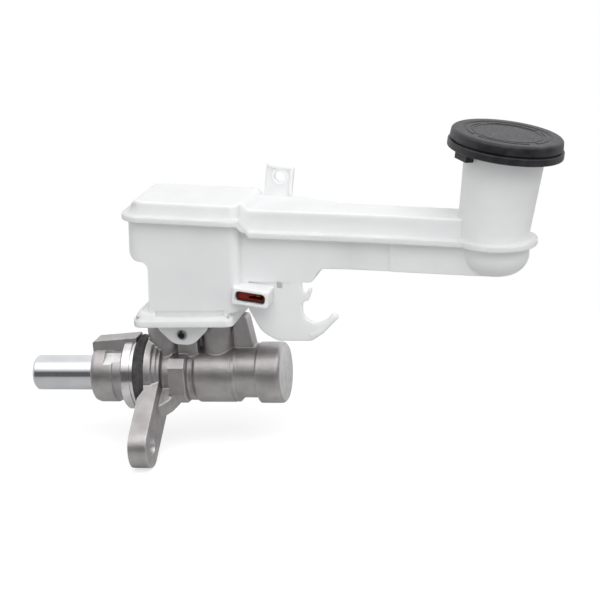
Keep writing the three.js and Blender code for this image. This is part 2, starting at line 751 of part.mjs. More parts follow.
function reservoirUpperShell() {
  const clear = GAP / 2;
  const outside = common(prism('y', upperSide(0, clear), -40, 40), prism('z', plan(0), 20, 110));
  const inside = common(prism('y', upperSide(WALL, -6), -40, 40), prism('z', plan(WALL), 20, 110));
  const neck = common(
    onNeck(neckCone(0, -6, NECK.top)),
    box([NECK.x - 40, -40, SEAM.arm + clear], [NECK.x + 40, 40, SEAM.arm + 80]),
  );
  const footRadius = BOWL.flat + BOWL.bend;
  const neckFoot = bar('z', footRadius, SEAM.arm + clear, SEAM.arm + 4, [BOWL.x, 0, 0], ROUND);
  return cut(
    join(outside, neck, neckFoot, seamFlange(clear, SEAM.half), mountingTab()),
    inside,
    onNeck(neckCone(WALL, -8, NECK.top + BEYOND)),
    bar('z', footRadius - WALL, SEAM.arm - 6, SEAM.arm + 5, [BOWL.x, 0, 0], ROUND),
  );
}

// ---------------------------------------------------------------- filler: strainer, gasket and cap

/** The basket that hangs in the neck, with long windows in its side. */
function fillerStrainer() {
  const rim = NECK.top + GAP;
  const [outer, wall, foot] = [16.4, 1, 22];
  const cup = turned('z', [
    [foot, 0],
    [foot, outer - 1.5],
    [rim, outer],
    [rim, 19.6],
    [rim + 0.9, 19.6],
    [rim + 0.9, outer - wall],
    [foot + wall, outer - 1.5 - wall],
    [foot + wall, 0],
  ], [0, 0, 0], 24);
  const windows = [0, 60, 120].map((angle) => (
    box([-30, -3.4, foot + 4], [30, 3.4, rim - 5]).rotateZ(degrees(angle))
  ));
  return cut(cup, ...windows);
}

/** The folded diaphragm that seals the cap on the neck's rim. */
function capGasket() {
  const foot = NECK.top + 0.9 + 2 * GAP;
  return turned('z', [
    [foot - 2.5, 0],
    [foot - 2.5, 9],
    [foot, 11],
    [foot, 20.3],
    [foot + 2, 20.3],
    [foot + 2, 12],
    [foot - 1.3, 9.6],
    [foot - 1.3, 0],
  ], [0, 0, 0], 24);
}

function fillerCap() {
  const { top, bottom, radius, ringRadius, split } = CAP;
  const ceiling = top - 3.6;
  const body = turned('z', [
    [top, 0],
    [top, radius - 0.8],
    [top - 0.8, radius],
    [split + 0.6, radius],
    [split + 0.2, radius - 0.9],
    [split - 0.2, radius - 0.9],
    [split - 0.6, ringRadius],
    [bottom + 0.5, ringRadius],
    [bottom, ringRadius - 0.5],
    [bottom, ringRadius - 2.6],
    [ceiling, ringRadius - 2.6],
    [ceiling, 24],
    [bottom, 24],
    [bottom, NECK.topRadius + 0.5],
    [ceiling, NECK.topRadius + 0.5],
    [ceiling, 0],
  ]);
  const lug = box([-5, -27, bottom - 4], [5, -22.2, bottom + 1]).rotateZ(degrees(-48));
  return join(body, lug);
}

// ---------------------------------------------------------------- level sensing

function levelFloat() {
  const { x, radius, bottom, top, post } = FLOAT;
  const puck = turned('z', [
    [bottom, 0],
    [bottom, radius - 1],
    [bottom + 1, radius],
    [top - 1, radius],
    [top, radius - 1],
    [top, 0],
  ], [x, 0, 0], 24);
  return cut(
    puck,
    bar('z', post + 0.6, bottom - BEYOND, top + BEYOND, [x, 0, 0], 16),
    bar('z', 6, bottom - BEYOND, bottom + 3.2, [x, 0, 0], 24),
  );
}

function floatMagnet() {
  const { x, bottom, post } = FLOAT;
  return ring('z', post + 0.8, 5.7, bottom + 0.1, bottom + 2.9, [x, 0, 0], 16);
}

/** The black reed switch housing with its open connector mouth. */
function levelSensorBody() {
  const [front, back] = SOCKET.y;
  return cut(
    socketBlock(1.9, front + 1.2, back - 1.9),
    socketBlock(3.1, front, -13),
  );
}

function levelSensorSeal() {
  const [front] = SOCKET.y;
  return cut(socketBlock(3.3, front + 3.5, -13.4), socketBlock(4, front, 0));
}

/** One blade contact standing in the connector mouth. */
function sensorTerminal(side) {
  const [x, z] = [(SOCKET.x[0] + SOCKET.x[1]) / 2, (SOCKET.z[0] + SOCKET.z[1]) / 2];
  const middle = x + side * 3.2;
  return inSocket(box([middle - 1, -19.5, z - 0.25], [middle + 1, -13.3, z + 0.25]));
}

// ---------------------------------------------------------------- assembly

/** A named mesh of one piece, added to its parent group. */
function piece(parent, name, shape, material, at = [0, 0, 0]) {
  const surface = geometryOf(shape).toNonIndexed();
  surface.computeVertexNormals();
  const mesh = new THREE.Mesh(surface, material);
  mesh.name = name;
  mesh.position.set(...at);
  parent.add(mesh);
}

function hydraulicUnit() {
  const unit = new THREE.Group();
  piece(unit, 'cylinder_body', cylinderBody(), castAluminium);
  piece(unit, 'primary_piston', primaryPiston(), polishedSteel);
  piece(unit, 'secondary_piston', secondaryPiston(), castAluminium);
  for (const [name, start] of Object.entries(SEAL_STARTS)) {
    piece(unit, name, lipSeal(start), blackRubber);
  }
  const primarySpring = coilSpring(PISTON.floor + GAP, RETAINER.face - 1.3 - GAP, 6.4, 1.9, 4.5);
  const secondarySpring = coilSpring(SECOND_PISTON.floor + GAP, BORE.end - 1.6 - GAP, 6.2, 1.9, 5);
  piece(unit, 'primary_spring', primarySpring, springSteel);
  piece(unit, 'secondary_spring', secondarySpring, springSteel);
  piece(unit, 'spring_retainer', springRetainer(), springSteel);
  piece(unit, 'retainer_screw', retainerScrew(), springSteel);
  piece(unit, 'secondary_spring_seat', secondarySpringSeat(), springSteel);
  piece(unit, 'piston_guide', pistonGuide(), blackPlastic);
  piece(unit, 'piston_snap_ring', snapRing(), springSteel);
  piece(unit, 'flange_seal', flangeSeal(), blackRubber);
  const [rearInlet, frontInlet] = INLET.xs;
  piece(unit, 'rear_inlet_grommet', inletGrommet(), blackRubber, [rearInlet, 0, 0]);
  piece(unit, 'front_inlet_grommet', inletGrommet(), blackRubber, [frontInlet, 0, 0]);
  const [rearOutlet, frontOutlet] = OUTLET.xs;
  piece(unit, 'rear_outlet_seat', outletSeat(), brass, [rearOutlet, 0, 0]);
  piece(unit, 'front_outlet_seat', outletSeat(), brass, [frontOutlet, 0, 0]);
  piece(unit, 'reservoir_pin', reservoirPin(), springSteel, [PIN.x, 0, PIN.z]);
  return unit;
}

function filler() {
  const neck = new THREE.Group();
  neck.position.set(NECK.x, 0, SEAM.arm);
  neck.rotation.y = degrees(NECK.tilt);
  piece(neck, 'filler_strainer', fillerStrainer(), whitePlastic);
  piece(neck, 'cap_gasket', capGasket(), blackRubber);
  piece(neck, 'filler_cap', fillerCap(), blackPlastic);
  return neck;
}

function reservoir() {
  const tank = new THREE.Group();
  tank.rotation.y = degrees(RESERVOIR_TILT);
  piece(tank, 'reservoir_lower_shell', reservoirLowerShell(), milkyPlastic);
  piece(tank, 'reservoir_upper_shell', reservoirUpperShell(), milkyPlastic);
  piece(tank, 'level_float', levelFloat(), foamBlack);
  piece(tank, 'float_magnet', floatMagnet(), magnetGrey);
  piece(tank, 'level_sensor_body', levelSensorBody(), blackPlastic);
  piece(tank, 'level_sensor_seal', levelSensorSeal(), redRubber);
  piece(tank, 'sensor_terminal_a', sensorTerminal(-1), brass);
  piece(tank, 'sensor_terminal_b', sensorTerminal(1), brass);
  tank.add(filler());
  return tank;
}

const masterCylinder = new THREE.Group();
masterCylinder.add(hydraulicUnit(), reservoir());
masterCylinder.position.x = -PUSHROD_SEAT.x;

export default masterCylinder;
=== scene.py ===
"""Looks of a tandem brake master cylinder with a remote-filler reservoir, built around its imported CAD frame.

Shapes are drawn in millimetres in one of three local frames: UNIT along the bore, TANK tilted with the
reservoir and NECK on the filler's own axis. Rough cast and moulded skins are voxel meshes with their edges
smoothed; what is machined or moulded sharp is cut into them afterwards.
"""

import json
import math

import bmesh
import bpy
import numpy as np
from mathutils import Matrix, Vector

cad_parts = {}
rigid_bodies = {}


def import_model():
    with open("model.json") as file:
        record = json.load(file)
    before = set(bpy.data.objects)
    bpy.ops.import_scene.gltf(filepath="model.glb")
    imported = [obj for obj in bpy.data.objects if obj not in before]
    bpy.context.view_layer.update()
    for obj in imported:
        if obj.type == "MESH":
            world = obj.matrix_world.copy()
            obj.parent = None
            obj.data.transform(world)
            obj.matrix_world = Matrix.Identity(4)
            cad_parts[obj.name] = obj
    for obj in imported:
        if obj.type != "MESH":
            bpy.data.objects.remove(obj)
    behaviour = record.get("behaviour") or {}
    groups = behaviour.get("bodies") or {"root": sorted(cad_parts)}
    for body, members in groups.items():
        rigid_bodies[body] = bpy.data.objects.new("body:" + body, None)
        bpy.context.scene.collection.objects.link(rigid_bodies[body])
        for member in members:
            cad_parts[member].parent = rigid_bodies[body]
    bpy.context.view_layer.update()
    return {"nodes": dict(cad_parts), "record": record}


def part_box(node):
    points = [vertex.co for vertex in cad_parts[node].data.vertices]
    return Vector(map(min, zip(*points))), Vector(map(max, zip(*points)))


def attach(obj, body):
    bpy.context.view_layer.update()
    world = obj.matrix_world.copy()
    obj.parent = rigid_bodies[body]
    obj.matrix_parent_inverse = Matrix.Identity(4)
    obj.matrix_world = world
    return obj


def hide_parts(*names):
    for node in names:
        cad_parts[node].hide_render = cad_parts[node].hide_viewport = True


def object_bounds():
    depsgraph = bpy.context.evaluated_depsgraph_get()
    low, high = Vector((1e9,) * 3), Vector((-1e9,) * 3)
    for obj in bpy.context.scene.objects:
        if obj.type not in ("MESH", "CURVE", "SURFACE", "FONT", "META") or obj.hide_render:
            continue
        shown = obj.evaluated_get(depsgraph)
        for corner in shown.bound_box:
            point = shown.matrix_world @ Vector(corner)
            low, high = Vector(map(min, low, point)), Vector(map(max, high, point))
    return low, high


for leftover in list(bpy.data.objects):
    bpy.data.objects.remove(leftover)

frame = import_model()

MM = 0.001
GAP = 0.3

# ---------------------------------------------------------------- places taken from the frame


def span(node):
    """A CAD node's box in millimetres, as (lowest corner, highest corner)."""
    low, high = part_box(node)
    return low / MM, high / MM


COLLAR_END = 76.0
booster_plane = span("cylinder_body")[1].x - COLLAR_END
RESERVOIR_TILT = math.radians(4)
NECK_TILT = math.radians(7.1)
NECK_X = 185.1
SEAM_TANK = 92.3
SEAM_ARM = 85.0

UNIT = Matrix.Translation((booster_plane * MM, 0, 0))
TANK = UNIT @ Matrix.Rotation(RESERVOIR_TILT, 4, "Y")
NECK = TANK @ Matrix.Translation((NECK_X * MM, 0, SEAM_ARM * MM)) @ Matrix.Rotation(NECK_TILT, 4, "Y")

piston_low, piston_high = span("primary_piston")
PISTON_RADIUS = piston_high.z
PISTON_TIP = piston_low.x - booster_plane
PISTON_FRONT = piston_high.x - booster_plane
BORE_RADIUS = PISTON_RADIUS + 0.1
pin_low, pin_high = span("reservoir_pin")
PIN_X = (pin_low.x + pin_high.x) / 2 - booster_plane
PIN_Z = 26.4
PIN_RADIUS = 2.5
ear_hole = Vector((0, -49 * math.cos(math.radians(35)), -49 * math.sin(math.radians(35))))

# ---------------------------------------------------------------- solids


def solid(points, faces):
    """A closed mesh from points in millimetres, with its faces pointing out."""
    mesh = bpy.data.meshes.new("solid")
    mesh.from_pydata([Vector(p) * MM for p in points], [], faces)
    volume = 0.0
    for polygon in mesh.polygons:
        corners = [mesh.vertices[i].co for i in polygon.vertices]
        for b, c in zip(corners[1:], corners[2:]):
            volume += corners[0].dot(b.cross(c))
    if volume < 0:
        mesh.flip_normals()
    obj = bpy.data.objects.new("solid", mesh)
    bpy.context.scene.collection.objects.link(obj)
    return obj


def rounded(corners, steps=6):
    """A polygon whose corners (a, b, radius) become arcs where a radius is given."""
    points = []
    count = len(corners)
    for i, (a, b, *rest) in enumerate(corners):
        if not rest or rest[0] <= 0:
            points.append((a, b))
            continue
        here = Vector((a, b))
        before = (Vector(corners[i - 1][:2]) - here).normalized()
        after = (Vector(corners[(i + 1) % count][:2]) - here).normalized()
        half = math.acos(max(-1, min(1, before.dot(after)))) / 2
        middle = here + (before + after).normalized() * (rest[0] / math.sin(half))
        start = here + before * (rest[0] / math.tan(half)) - middle
        end = here + after * (rest[0] / math.tan(half)) - middle
        turn = math.atan2(start.x * end.y - start.y * end.x, start.dot(end))
        for step in range(steps + 1):
            angle = turn * step / steps
            x = start.x * math.cos(angle) - start.y * math.sin(angle)
            y = start.x * math.sin(angle) + start.y * math.cos(angle)
            points.append((middle.x + x, middle.y + y))
    return points


def turned(axis, profile, at=(0, 0, 0), steps=96):
    """A solid of revolution; its profile of (along, radius) ends on the axis, or closes on itself."""
    closed = profile[0] == profile[-1]
    rows = profile[:-1] if closed else profile
    points = []
    rings = []
    for along, radius in rows:
        count = steps if radius > 1e-6 else 1
        ring = []
        for k in range(count):
            angle = 2 * math.pi * k / steps
            u = radius * math.cos(angle)
            v = radius * math.sin(angle)
            place = {"x": (along, u, v), "y": (u, along, v), "z": (u, v, along)}[axis]
            ring.append(len(points))
            points.append(Vector(place) + Vector(at))
        rings.append(ring)
    pairs = list(zip(rings, rings[1:]))
    if closed:
        pairs.append((rings[-1], rings[0]))
    faces = []
    for low, high in pairs:
        for k in range(steps):
            n = (k + 1) % steps
            if len(low) == 1 and len(high) == 1:
                continue
            if len(low) == 1:
                faces.append((low[0], high[n], high[k]))
            elif len(high) == 1:
                faces.append((low[k], low[n], high[0]))
            else:
                faces.append((low[k], low[n], high[n], high[k]))
    return facing_one_way(solid(points, faces))


def facing_one_way(obj):
    """Turns every face of a closed mesh outward."""
    work = bmesh.new()
    work.from_mesh(obj.data)
    bmesh.ops.recalc_face_normals(work, faces=work.faces)
    work.to_mesh(obj.data)
    work.free()
    return obj


def bar(axis, radius, start, end, at=(0, 0, 0), steps=64):
    return turned(axis, [(start, 0), (start, radius), (end, radius), (end, 0)], at, steps)


def tube(axis, inner, outer, start, end, at=(0, 0, 0), steps=96):
    profile = [(start, inner), (start, outer), (end, outer), (end, inner), (start, inner)]
    return turned(axis, profile, at, steps)


def prism(axis, outline, start, end):
    """An outline swept along an axis: (x, z) pairs along y, (y, z) along x, (x, y) along z."""
    place = {
        "x": lambda a, b, c: (c, a, b),
        "y": lambda a, b, c: (a, c, b),
        "z": lambda a, b, c: (a, b, c),
    }[axis]
    count = len(outline)
    points = [place(a, b, start) for a, b in outline] + [place(a, b, end) for a, b in outline]
    faces = [tuple(range(count)), tuple(range(2 * count - 1, count - 1, -1))]
    for i in range(count):
        n = (i + 1) % count
        faces.append((i, i + count, n + count, n))
    return facing_one_way(solid(points, faces))


def block(low, high):
    outline = [(low[0], low[1]), (high[0], low[1]), (high[0], high[1]), (low[0], high[1])]
    return prism("z", outline, low[2], high[2])


def moved(obj, matrix):
    obj.data.transform(matrix)
    return obj


def turn_about(axis, angle, centre=(0, 0, 0)):
    """A rotation in degrees about an axis through a point given in millimetres."""
    middle = Matrix.Translation(Vector(centre) * MM)
    return middle @ Matrix.Rotation(math.radians(angle), 4, axis) @ middle.inverted()


def settle(obj):
    """Makes an object's modifiers part of its mesh."""
    bpy.context.view_layer.update()
    graph = bpy.context.evaluated_depsgraph_get()
    mesh = bpy.data.meshes.new_from_object(obj.evaluated_get(graph))
    obj.modifiers.clear()
    old = obj.data
    obj.data = mesh
    bpy.data.meshes.remove(old)
    return obj


def combine(operation, first, others):
    for other in others:
        step = first.modifiers.new("boolean", "BOOLEAN")
        step.operation = operation
        step.solver = "MANIFOLD"
        step.material_mode = "TRANSFER"
        step.object = other
        settle(first)
        bpy.data.objects.remove(other)
    return first


def join(first, *others):
    return combine("UNION", first, others)


def cut(first, *tools):
    """Joins the small tools before they meet the large mesh, which is much quicker."""
    return combine("DIFFERENCE", first, [join(*tools)])


def common(first, *others):
    return combine("INTERSECT", first, others)


def soften(obj, voxel, passes):
    """Gives a rough solid an even skin, with its edges and corners rounded off."""
    remesh = obj.modifiers.new("skin", "REMESH")
    remesh.mode = "VOXEL"
    remesh.voxel_size = voxel * MM
    smooth = obj.modifiers.new("round off", "SMOOTH")
    smooth.factor = 0.5
    smooth.iterations = passes
    return settle(obj)


def painted(material, *objects):
    """Gives each solid a material, which its faces keep through a cut or a join."""
    for obj in objects:
        obj.data.materials.clear()
        obj.data.materials.append(material)
    return objects[0] if len(objects) == 1 else objects


def place(obj, name, body, where, slot, stands_for=(), crease=35):
    """Names a finished piece, sets it in its frame and lets it ride on its CAD body."""
    obj.name = name
    obj.data.name = name
    for polygon in obj.data.polygons:
        polygon.use_smooth = True
    obj.data.set_sharp_from_angle(angle=math.radians(crease))
    obj.matrix_world = where
    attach(obj, body)
    if stands_for:
        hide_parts(*stands_for)
    return obj


# ---------------------------------------------------------------- materials


class Look:
    """A node material on the way: one principled shader and what feeds it."""

    def __init__(self, name, color, roughness, metallic=0.0):
        self.material = bpy.data.materials.new(name)
        self.material.use_nodes = True
        self.tree = self.material.node_tree
        self.shader = self.tree.nodes["Principled BSDF"]
        self.set("Base Color", (*color, 1))
        self.set("Roughness", roughness)
        self.set("Metallic", metallic)
        self.coordinates = self.tree.nodes.new("ShaderNodeTexCoord").outputs["Object"]
        self.normal = None

    def set(self, socket, value):
        self.shader.inputs[socket].default_value = value

    def node(self, kind, **settings):
        made = self.tree.nodes.new(kind)
        for key, value in settings.items():
            if key in made.inputs:
                made.inputs[key].default_value = value
            else:
                setattr(made, key, value)
        return made

    def link(self, output, socket):
        self.tree.links.new(output, socket)

    def stretched(self, scale):
        mapping = self.node("ShaderNodeMapping")
        mapping.inputs["Scale"].default_value = scale
        self.link(self.coordinates, mapping.inputs["Vector"])
        return mapping.outputs["Vector"]

    def grain(self, size, detail=3.0, stretch=(1, 1, 1)):
        """Noise whose features are about `size` millimetres across."""
        made = self.node("ShaderNodeTexNoise", Scale=1 / (size * MM), Detail=detail)
        self.link(self.stretched(stretch), made.inputs["Vector"])
        return made.outputs["Fac"]

    def spread(self, value, low, high, start=0.3, end=0.7):
        """Maps a noise value to the range low to high."""
        made = self.node("ShaderNodeMapRange")
        made.inputs["From Min"].default_value = start
        made.inputs["From Max"].default_value = end
        made.inputs["To Min"].default_value = low
        made.inputs["To Max"].default_value = high
        self.link(value, made.inputs["Value"])
        return made.outputs["Result"]

    def tint(self, value, dark, light):
        """The base colour runs between two colours with a 0 to 1 value."""
        mix = self.node("ShaderNodeMixRGB")
        mix.inputs["Color1"].default_value = (*dark, 1)
        mix.inputs["Color2"].default_value = (*light, 1)
        self.link(value, mix.inputs["Fac"])
        self.link(mix.outputs["Color"], self.shader.inputs["Base Color"])

    def bump(self, height, depth, strength=1.0):
        """Adds relief of about `depth` millimetres on top of any before it."""
        made = self.node("ShaderNodeBump", Strength=strength, Distance=depth * MM)
        self.link(height, made.inputs["Height"])
        if self.normal is not None:
            self.link(self.normal, made.inputs["Normal"])
        self.normal = made.outputs["Normal"]
        self.link(self.normal, self.shader.inputs["Normal"])

    def worn_edges(self):
        """0 to 1, highest on outward edges."""
        geometry = self.node("ShaderNodeNewGeometry")
        return self.spread(geometry.outputs["Pointiness"], 0.0, 1.0, 0.5, 0.56)


def cast_aluminium():
    look = Look("cast_aluminium", (0.45, 0.43, 0.43), 0.42, 1.0)
    blotches = look.grain(9, 4)
    sand = look.grain(0.55, 4)
    patches = look.spread(blotches, 0.0, 0.55)
    shade = look.node("ShaderNodeMath", operation="ADD", use_clamp=True)
    look.link(patches, shade.inputs[0])
    look.link(look.spread(look.worn_edges(), 0.0, 0.6, 0, 1), shade.inputs[1])
    look.tint(shade.outputs["Value"], (0.41, 0.388, 0.39), (0.66, 0.64, 0.642))
    look.link(look.spread(sand, 0.34, 0.5), look.shader.inputs["Roughness"])
    look.bump(sand, 0.09, 0.55)
    look.bump(look.grain(2.6, 3), 0.22, 0.35)
    return look.material


def machined_aluminium():
    look = Look("machined_aluminium", (0.78, 0.77, 0.77), 0.22, 1.0)
    lines = look.grain(0.35, 2, (1, 0.02, 0.02))
    look.tint(look.spread(look.grain(6), 0, 1), (0.7, 0.69, 0.69), (0.84, 0.83, 0.83))
    look.link(look.spread(lines, 0.1, 0.2), look.shader.inputs["Roughness"])
    look.bump(lines, 0.01, 0.5)
    return look.material


def faced_aluminium():
    look = Look("faced_aluminium", (0.74, 0.73, 0.73), 0.4, 1.0)
    look.tint(look.spread(look.grain(4), 0, 1), (0.66, 0.65, 0.65), (0.8, 0.79, 0.79))
    look.link(look.spread(look.grain(0.6), 0.34, 0.5), look.shader.inputs["Roughness"])
    look.bump(look.grain(0.4), 0.02, 0.5)
    return look.material


def polished_steel():
    look = Look("polished_steel", (0.71, 0.72, 0.74), 0.1, 1.0)
    lines = look.grain(0.3, 2, (1, 0.01, 0.01))
    look.tint(look.spread(look.grain(12), 0, 1), (0.66, 0.67, 0.69), (0.75, 0.76, 0.78))
    look.link(look.spread(lines, 0.08, 0.2), look.shader.inputs["Roughness"])
    look.bump(lines, 0.004, 0.4)
    return look.material


def spring_steel():
    look = Look("spring_steel", (0.45, 0.45, 0.47), 0.3, 1.0)
    look.tint(look.spread(look.grain(3), 0, 1), (0.36, 0.36, 0.38), (0.52, 0.52, 0.54))
    look.link(look.spread(look.grain(0.8), 0.24, 0.42), look.shader.inputs["Roughness"])
    look.bump(look.grain(0.5), 0.02, 0.3)
    return look.material


def milky_plastic():
    look = Look("milky_plastic", (0.86, 0.87, 0.87), 0.38)
    look.tint(look.spread(look.grain(22, 2), 0, 1), (0.84, 0.85, 0.855), (0.885, 0.89, 0.89))
    look.set("Subsurface Weight", 1.0)
    look.set("Subsurface Radius", (1.0, 1.0, 1.0))
    look.set("Subsurface Scale", 2.4 * MM)
    look.set("Specular IOR Level", 0.3)
    look.set("IOR", 1.46)
    look.link(look.spread(look.grain(1.4), 0.3, 0.46), look.shader.inputs["Roughness"])
    look.bump(look.grain(14, 2), 0.35, 0.25)
    look.bump(look.grain(0.5, 2), 0.015, 0.35)
    return look.material


def black_plastic():
    look = Look("black_plastic", (0.022, 0.022, 0.026), 0.42)
    look.tint(look.spread(look.grain(7), 0.0, 1.0), (0.008, 0.008, 0.01), (0.03, 0.03, 0.035))
    look.link(look.spread(look.grain(0.9), 0.36, 0.52), look.shader.inputs["Roughness"])
    look.bump(look.grain(0.35, 2), 0.03, 0.4)
    return look.material


def rubber(name, dark, light):
    look = Look(name, dark, 0.72)
    look.tint(look.spread(look.grain(3), 0, 1), dark, light)
    look.link(look.spread(look.grain(0.6), 0.6, 0.82), look.shader.inputs["Roughness"])
    look.set("Specular IOR Level", 0.3)
    look.bump(look.grain(0.4, 3), 0.03, 0.4)
    return look.material


def brass():
    look = Look("brass", (0.78, 0.6, 0.28), 0.26, 1.0)
    look.tint(look.spread(look.grain(2), 0, 1), (0.66, 0.48, 0.2), (0.84, 0.67, 0.34))
    look.link(look.spread(look.grain(0.3), 0.2, 0.4), look.shader.inputs["Roughness"])
    look.bump(look.grain(0.4), 0.01, 0.4)
    return look.material


def white_nylon():
    look = Look("white_nylon", (0.8, 0.8, 0.77), 0.42)
    look.tint(look.spread(look.grain(4), 0, 1), (0.76, 0.76, 0.72), (0.84, 0.84, 0.81))
    look.set("Subsurface Weight", 0.4)
    look.set("Subsurface Scale", 2.0 * MM)
    look.bump(look.grain(0.5), 0.03, 0.3)
    return look.material


def magnet_grey():
    look = Look("magnet_grey", (0.09, 0.09, 0.095), 0.5, 0.6)
    look.tint(look.spread(look.grain(1), 0, 1), (0.07, 0.07, 0.075), (0.13, 0.13, 0.135))
    look.bump(look.grain(0.3), 0.03, 0.5)
    return look.material


def float_foam():
    look = Look("float_foam", (0.5, 0.45, 0.33), 0.7)
    look.tint(look.spread(look.grain(2), 0, 1), (0.44, 0.39, 0.28), (0.56, 0.5, 0.38))
    look.bump(look.grain(0.6, 4), 0.1, 0.5)
    return look.material


CAST = cast_aluminium()
MACHINED = machined_aluminium()
FACED = faced_aluminium()
STEEL = polished_steel()
SPRING = spring_steel()
MILKY = milky_plastic()
BLACK = black_plastic()
RUBBER = rubber("black_rubber", (0.05, 0.048, 0.048), (0.09, 0.087, 0.087))
RED = rubber("red_rubber", (0.19, 0.01, 0.004), (0.3, 0.02, 0.008))
BRASS = brass()
NYLON = white_nylon()
FOAM = float_foam()
MAGNET = magnet_grey()

FINISHES = {
    "cast_aluminium": CAST,
    "polished_steel": STEEL,
    "spring_steel": SPRING,
    "black_rubber": RUBBER,
    "brass": BRASS,
    "milky_plastic": MILKY,
    "black_plastic": BLACK,
    "red_rubber": RED,
    "white_plastic": NYLON,
    "float_plastic": FOAM,
    "magnet": MAGNET,
}

# ---------------------------------------------------------------- cylinder body

PILOT_RADIUS = 19.8
HUB_RADIUS = 20.5
FLANGE_FRONT = 10.2
BARREL_RADIUS = 15.0
BIG_RADIUS = 16.0
WAIST_START = 52.7
WAIST_END = 62.8
WAIST_RADIUS = 13.6
WAIST_FILL = 14.7
WAIST_RISE = 1.2
COLLAR_RADIUS = 16.5
INLET_XS = (10.5, 40.3)
INLET_TOP = 32.4
INLET_FLOOR = 22.0
GROMMET_SEAT = 7.6
OUTLET_XS = (16.0, 57.5)
OUTLET_FACE = 25.0
EAR_ANGLE = 35
EAR_HALF_WIDTH = 11.3
EAR_HOLE = 4.25
SEAL_STARTS = (-16.0, -2.0, 28.0, 43.5)


def ear_outline():
    """The near ear in the (y, z) plane, from the bore's axis to its round tip."""
    away = math.radians(180 + EAR_ANGLE)
    points = []
    for step in range(33):
        angle = away - math.pi / 2 + math.pi * step / 32
        points.append((
            ear_hole.y + EAR_HALF_WIDTH * math.cos(angle),
            ear_hole.z + EAR_HALF_WIDTH * math.sin(angle),
        ))
    for side in (1, -1):
        angle = away + side * math.pi / 2
        points.append((EAR_HALF_WIDTH * math.cos(angle), EAR_HALF_WIDTH * math.sin(angle)))
    return points


def gusset(turn):
    """The rib that stiffens an ear against the barrel, swung round from straight down."""
    outline = rounded([(9, -8), (20.5, -8), (20.3, -12), (19, -17.5, 3), (15.5, -23, 5), (9, -28)])
    return moved(prism("y", outline, -5, 5), turn_about("X", turn))


def ears():
    near = ear_outline()
    far = [(-y, -z) for y, z in near]
    return [
        prism("x", near, -0.8, FLANGE_FRONT),
        prism("x", far, -0.8, FLANGE_FRONT),
        gusset(EAR_ANGLE - 90),
        gusset(EAR_ANGLE + 90),
    ]


def barrel():
    """The turned outline of the casting, before any machining."""
    return turned("x", [
        (-30.2, 0),
        (-30.2, 14.4),
        (-29.4, 15.3),
        (-27.4, 16),
        (-17.6, 16),
        (-17.4, 15.2),
        (-12.0, 15.2),
        (-12.0, PILOT_RADIUS + 0.5),
        (-0.4, PILOT_RADIUS + 0.5),
        (-0.4, HUB_RADIUS + 0.1),
        (5.8, HUB_RADIUS + 0.1),
        (6.1, HUB_RADIUS - 1),
        (8.2, HUB_RADIUS - 1),
        (8.5, HUB_RADIUS - 1.9),
        (FLANGE_FRONT, HUB_RADIUS - 1.9),
        (FLANGE_FRONT, BARREL_RADIUS + 0.8),
        (FLANGE_FRONT + 1, BARREL_RADIUS),
        (27.6, BARREL_RADIUS),
        (29, BIG_RADIUS),
        (WAIST_START - 2.1, BIG_RADIUS),
        (WAIST_START, WAIST_RADIUS),
        (WAIST_END, WAIST_RADIUS),
        (WAIST_END, COLLAR_RADIUS),
        (COLLAR_END - 1.6, COLLAR_RADIUS),
        (COLLAR_END - 0.5, COLLAR_RADIUS - 0.6),
        (COLLAR_END + 0.4, COLLAR_RADIUS - 1.8),
        (COLLAR_END + 0.4, 0),
    ], steps=128)


def saddle():
    """Fills the waist off centre: up to the barrel on top, where the fin stands, and not at all below."""
    return bar("x", WAIST_FILL, WAIST_START - 3, WAIST_END + 0.4, (0, 0, WAIST_RISE), 96)


def bosses():
    """What stands on the barrel: inlet and outlet bosses, the top fin, the side block and the pin's boss."""
    inlets = [bar("z", 9.4, 4, INLET_TOP + 0.5, (x, 0, 0)) for x in INLET_XS]
    outlets = [bar("y", 8.5, 4, OUTLET_FACE + 0.4, (x, 0, 0)) for x in OUTLET_XS]
    fin = [(49.4, 8), (50, 27), (53.5, 32.6, 2), (57.6, 32.8, 2), (60.4, 16, 3), (61.5, 8)]
    side = [(-19.2, -7), (-14.5, -12.5), (-8, -13), (-8, 13), (-15, 13), (-19.2, 8.4)]
    return [
        *inlets,
        *outlets,
        prism("y", rounded(fin), -4.5, 4.5),
        prism("x", side, 15.6, 24.7),
        block((19.5, -9, 8), (30.5, 9, 31)),
    ]


def nose_key():
    """The flat key along the top of the nose, which carries on over the pilot."""
    side = rounded([(-30.3, 12), (-30.3, 18.3, 0.8), (-28.7, 19.6, 1), (-4.5, 21.5, 0.4), (-4.5, 12)])
    return soften(painted(CAST, prism("y", side, -6, 6)), 0.35, 3)


def pilot_tool():
    """Turns the pilot, its groove, the seal's seat and the faces of the ears that meet the booster."""
    r = PILOT_RADIUS
    return turned("x", [
        (-12.6, 15.5), (-11.5, 15.5), (-11.5, r - 0.7), (-10.8, r), (-6.5, r), (-6.4, r - 0.9),
        (-5.7, r - 0.9), (-5.6, r), (-4.5, r), (-4.2, r - 0.3), (-4.2, 17.4), (2, 17.4),
        (2, 21.5), (3.2, 21.6), (0, 28), (0, 62), (-12.6, 62), (-12.6, 15.5),
    ], steps=128)


def end_tool():
    """Faces the closed end and chamfers its rim, leaving a centre drilling."""
    end = COLLAR_END
    return [
        tube("x", 0.001, 24, end, end + 3),
        turned("x", [(end - 1.6, 0), (end - 0.9, 0.7), (end + 1, 1.2), (end + 1, 0)], steps=32),
    ]


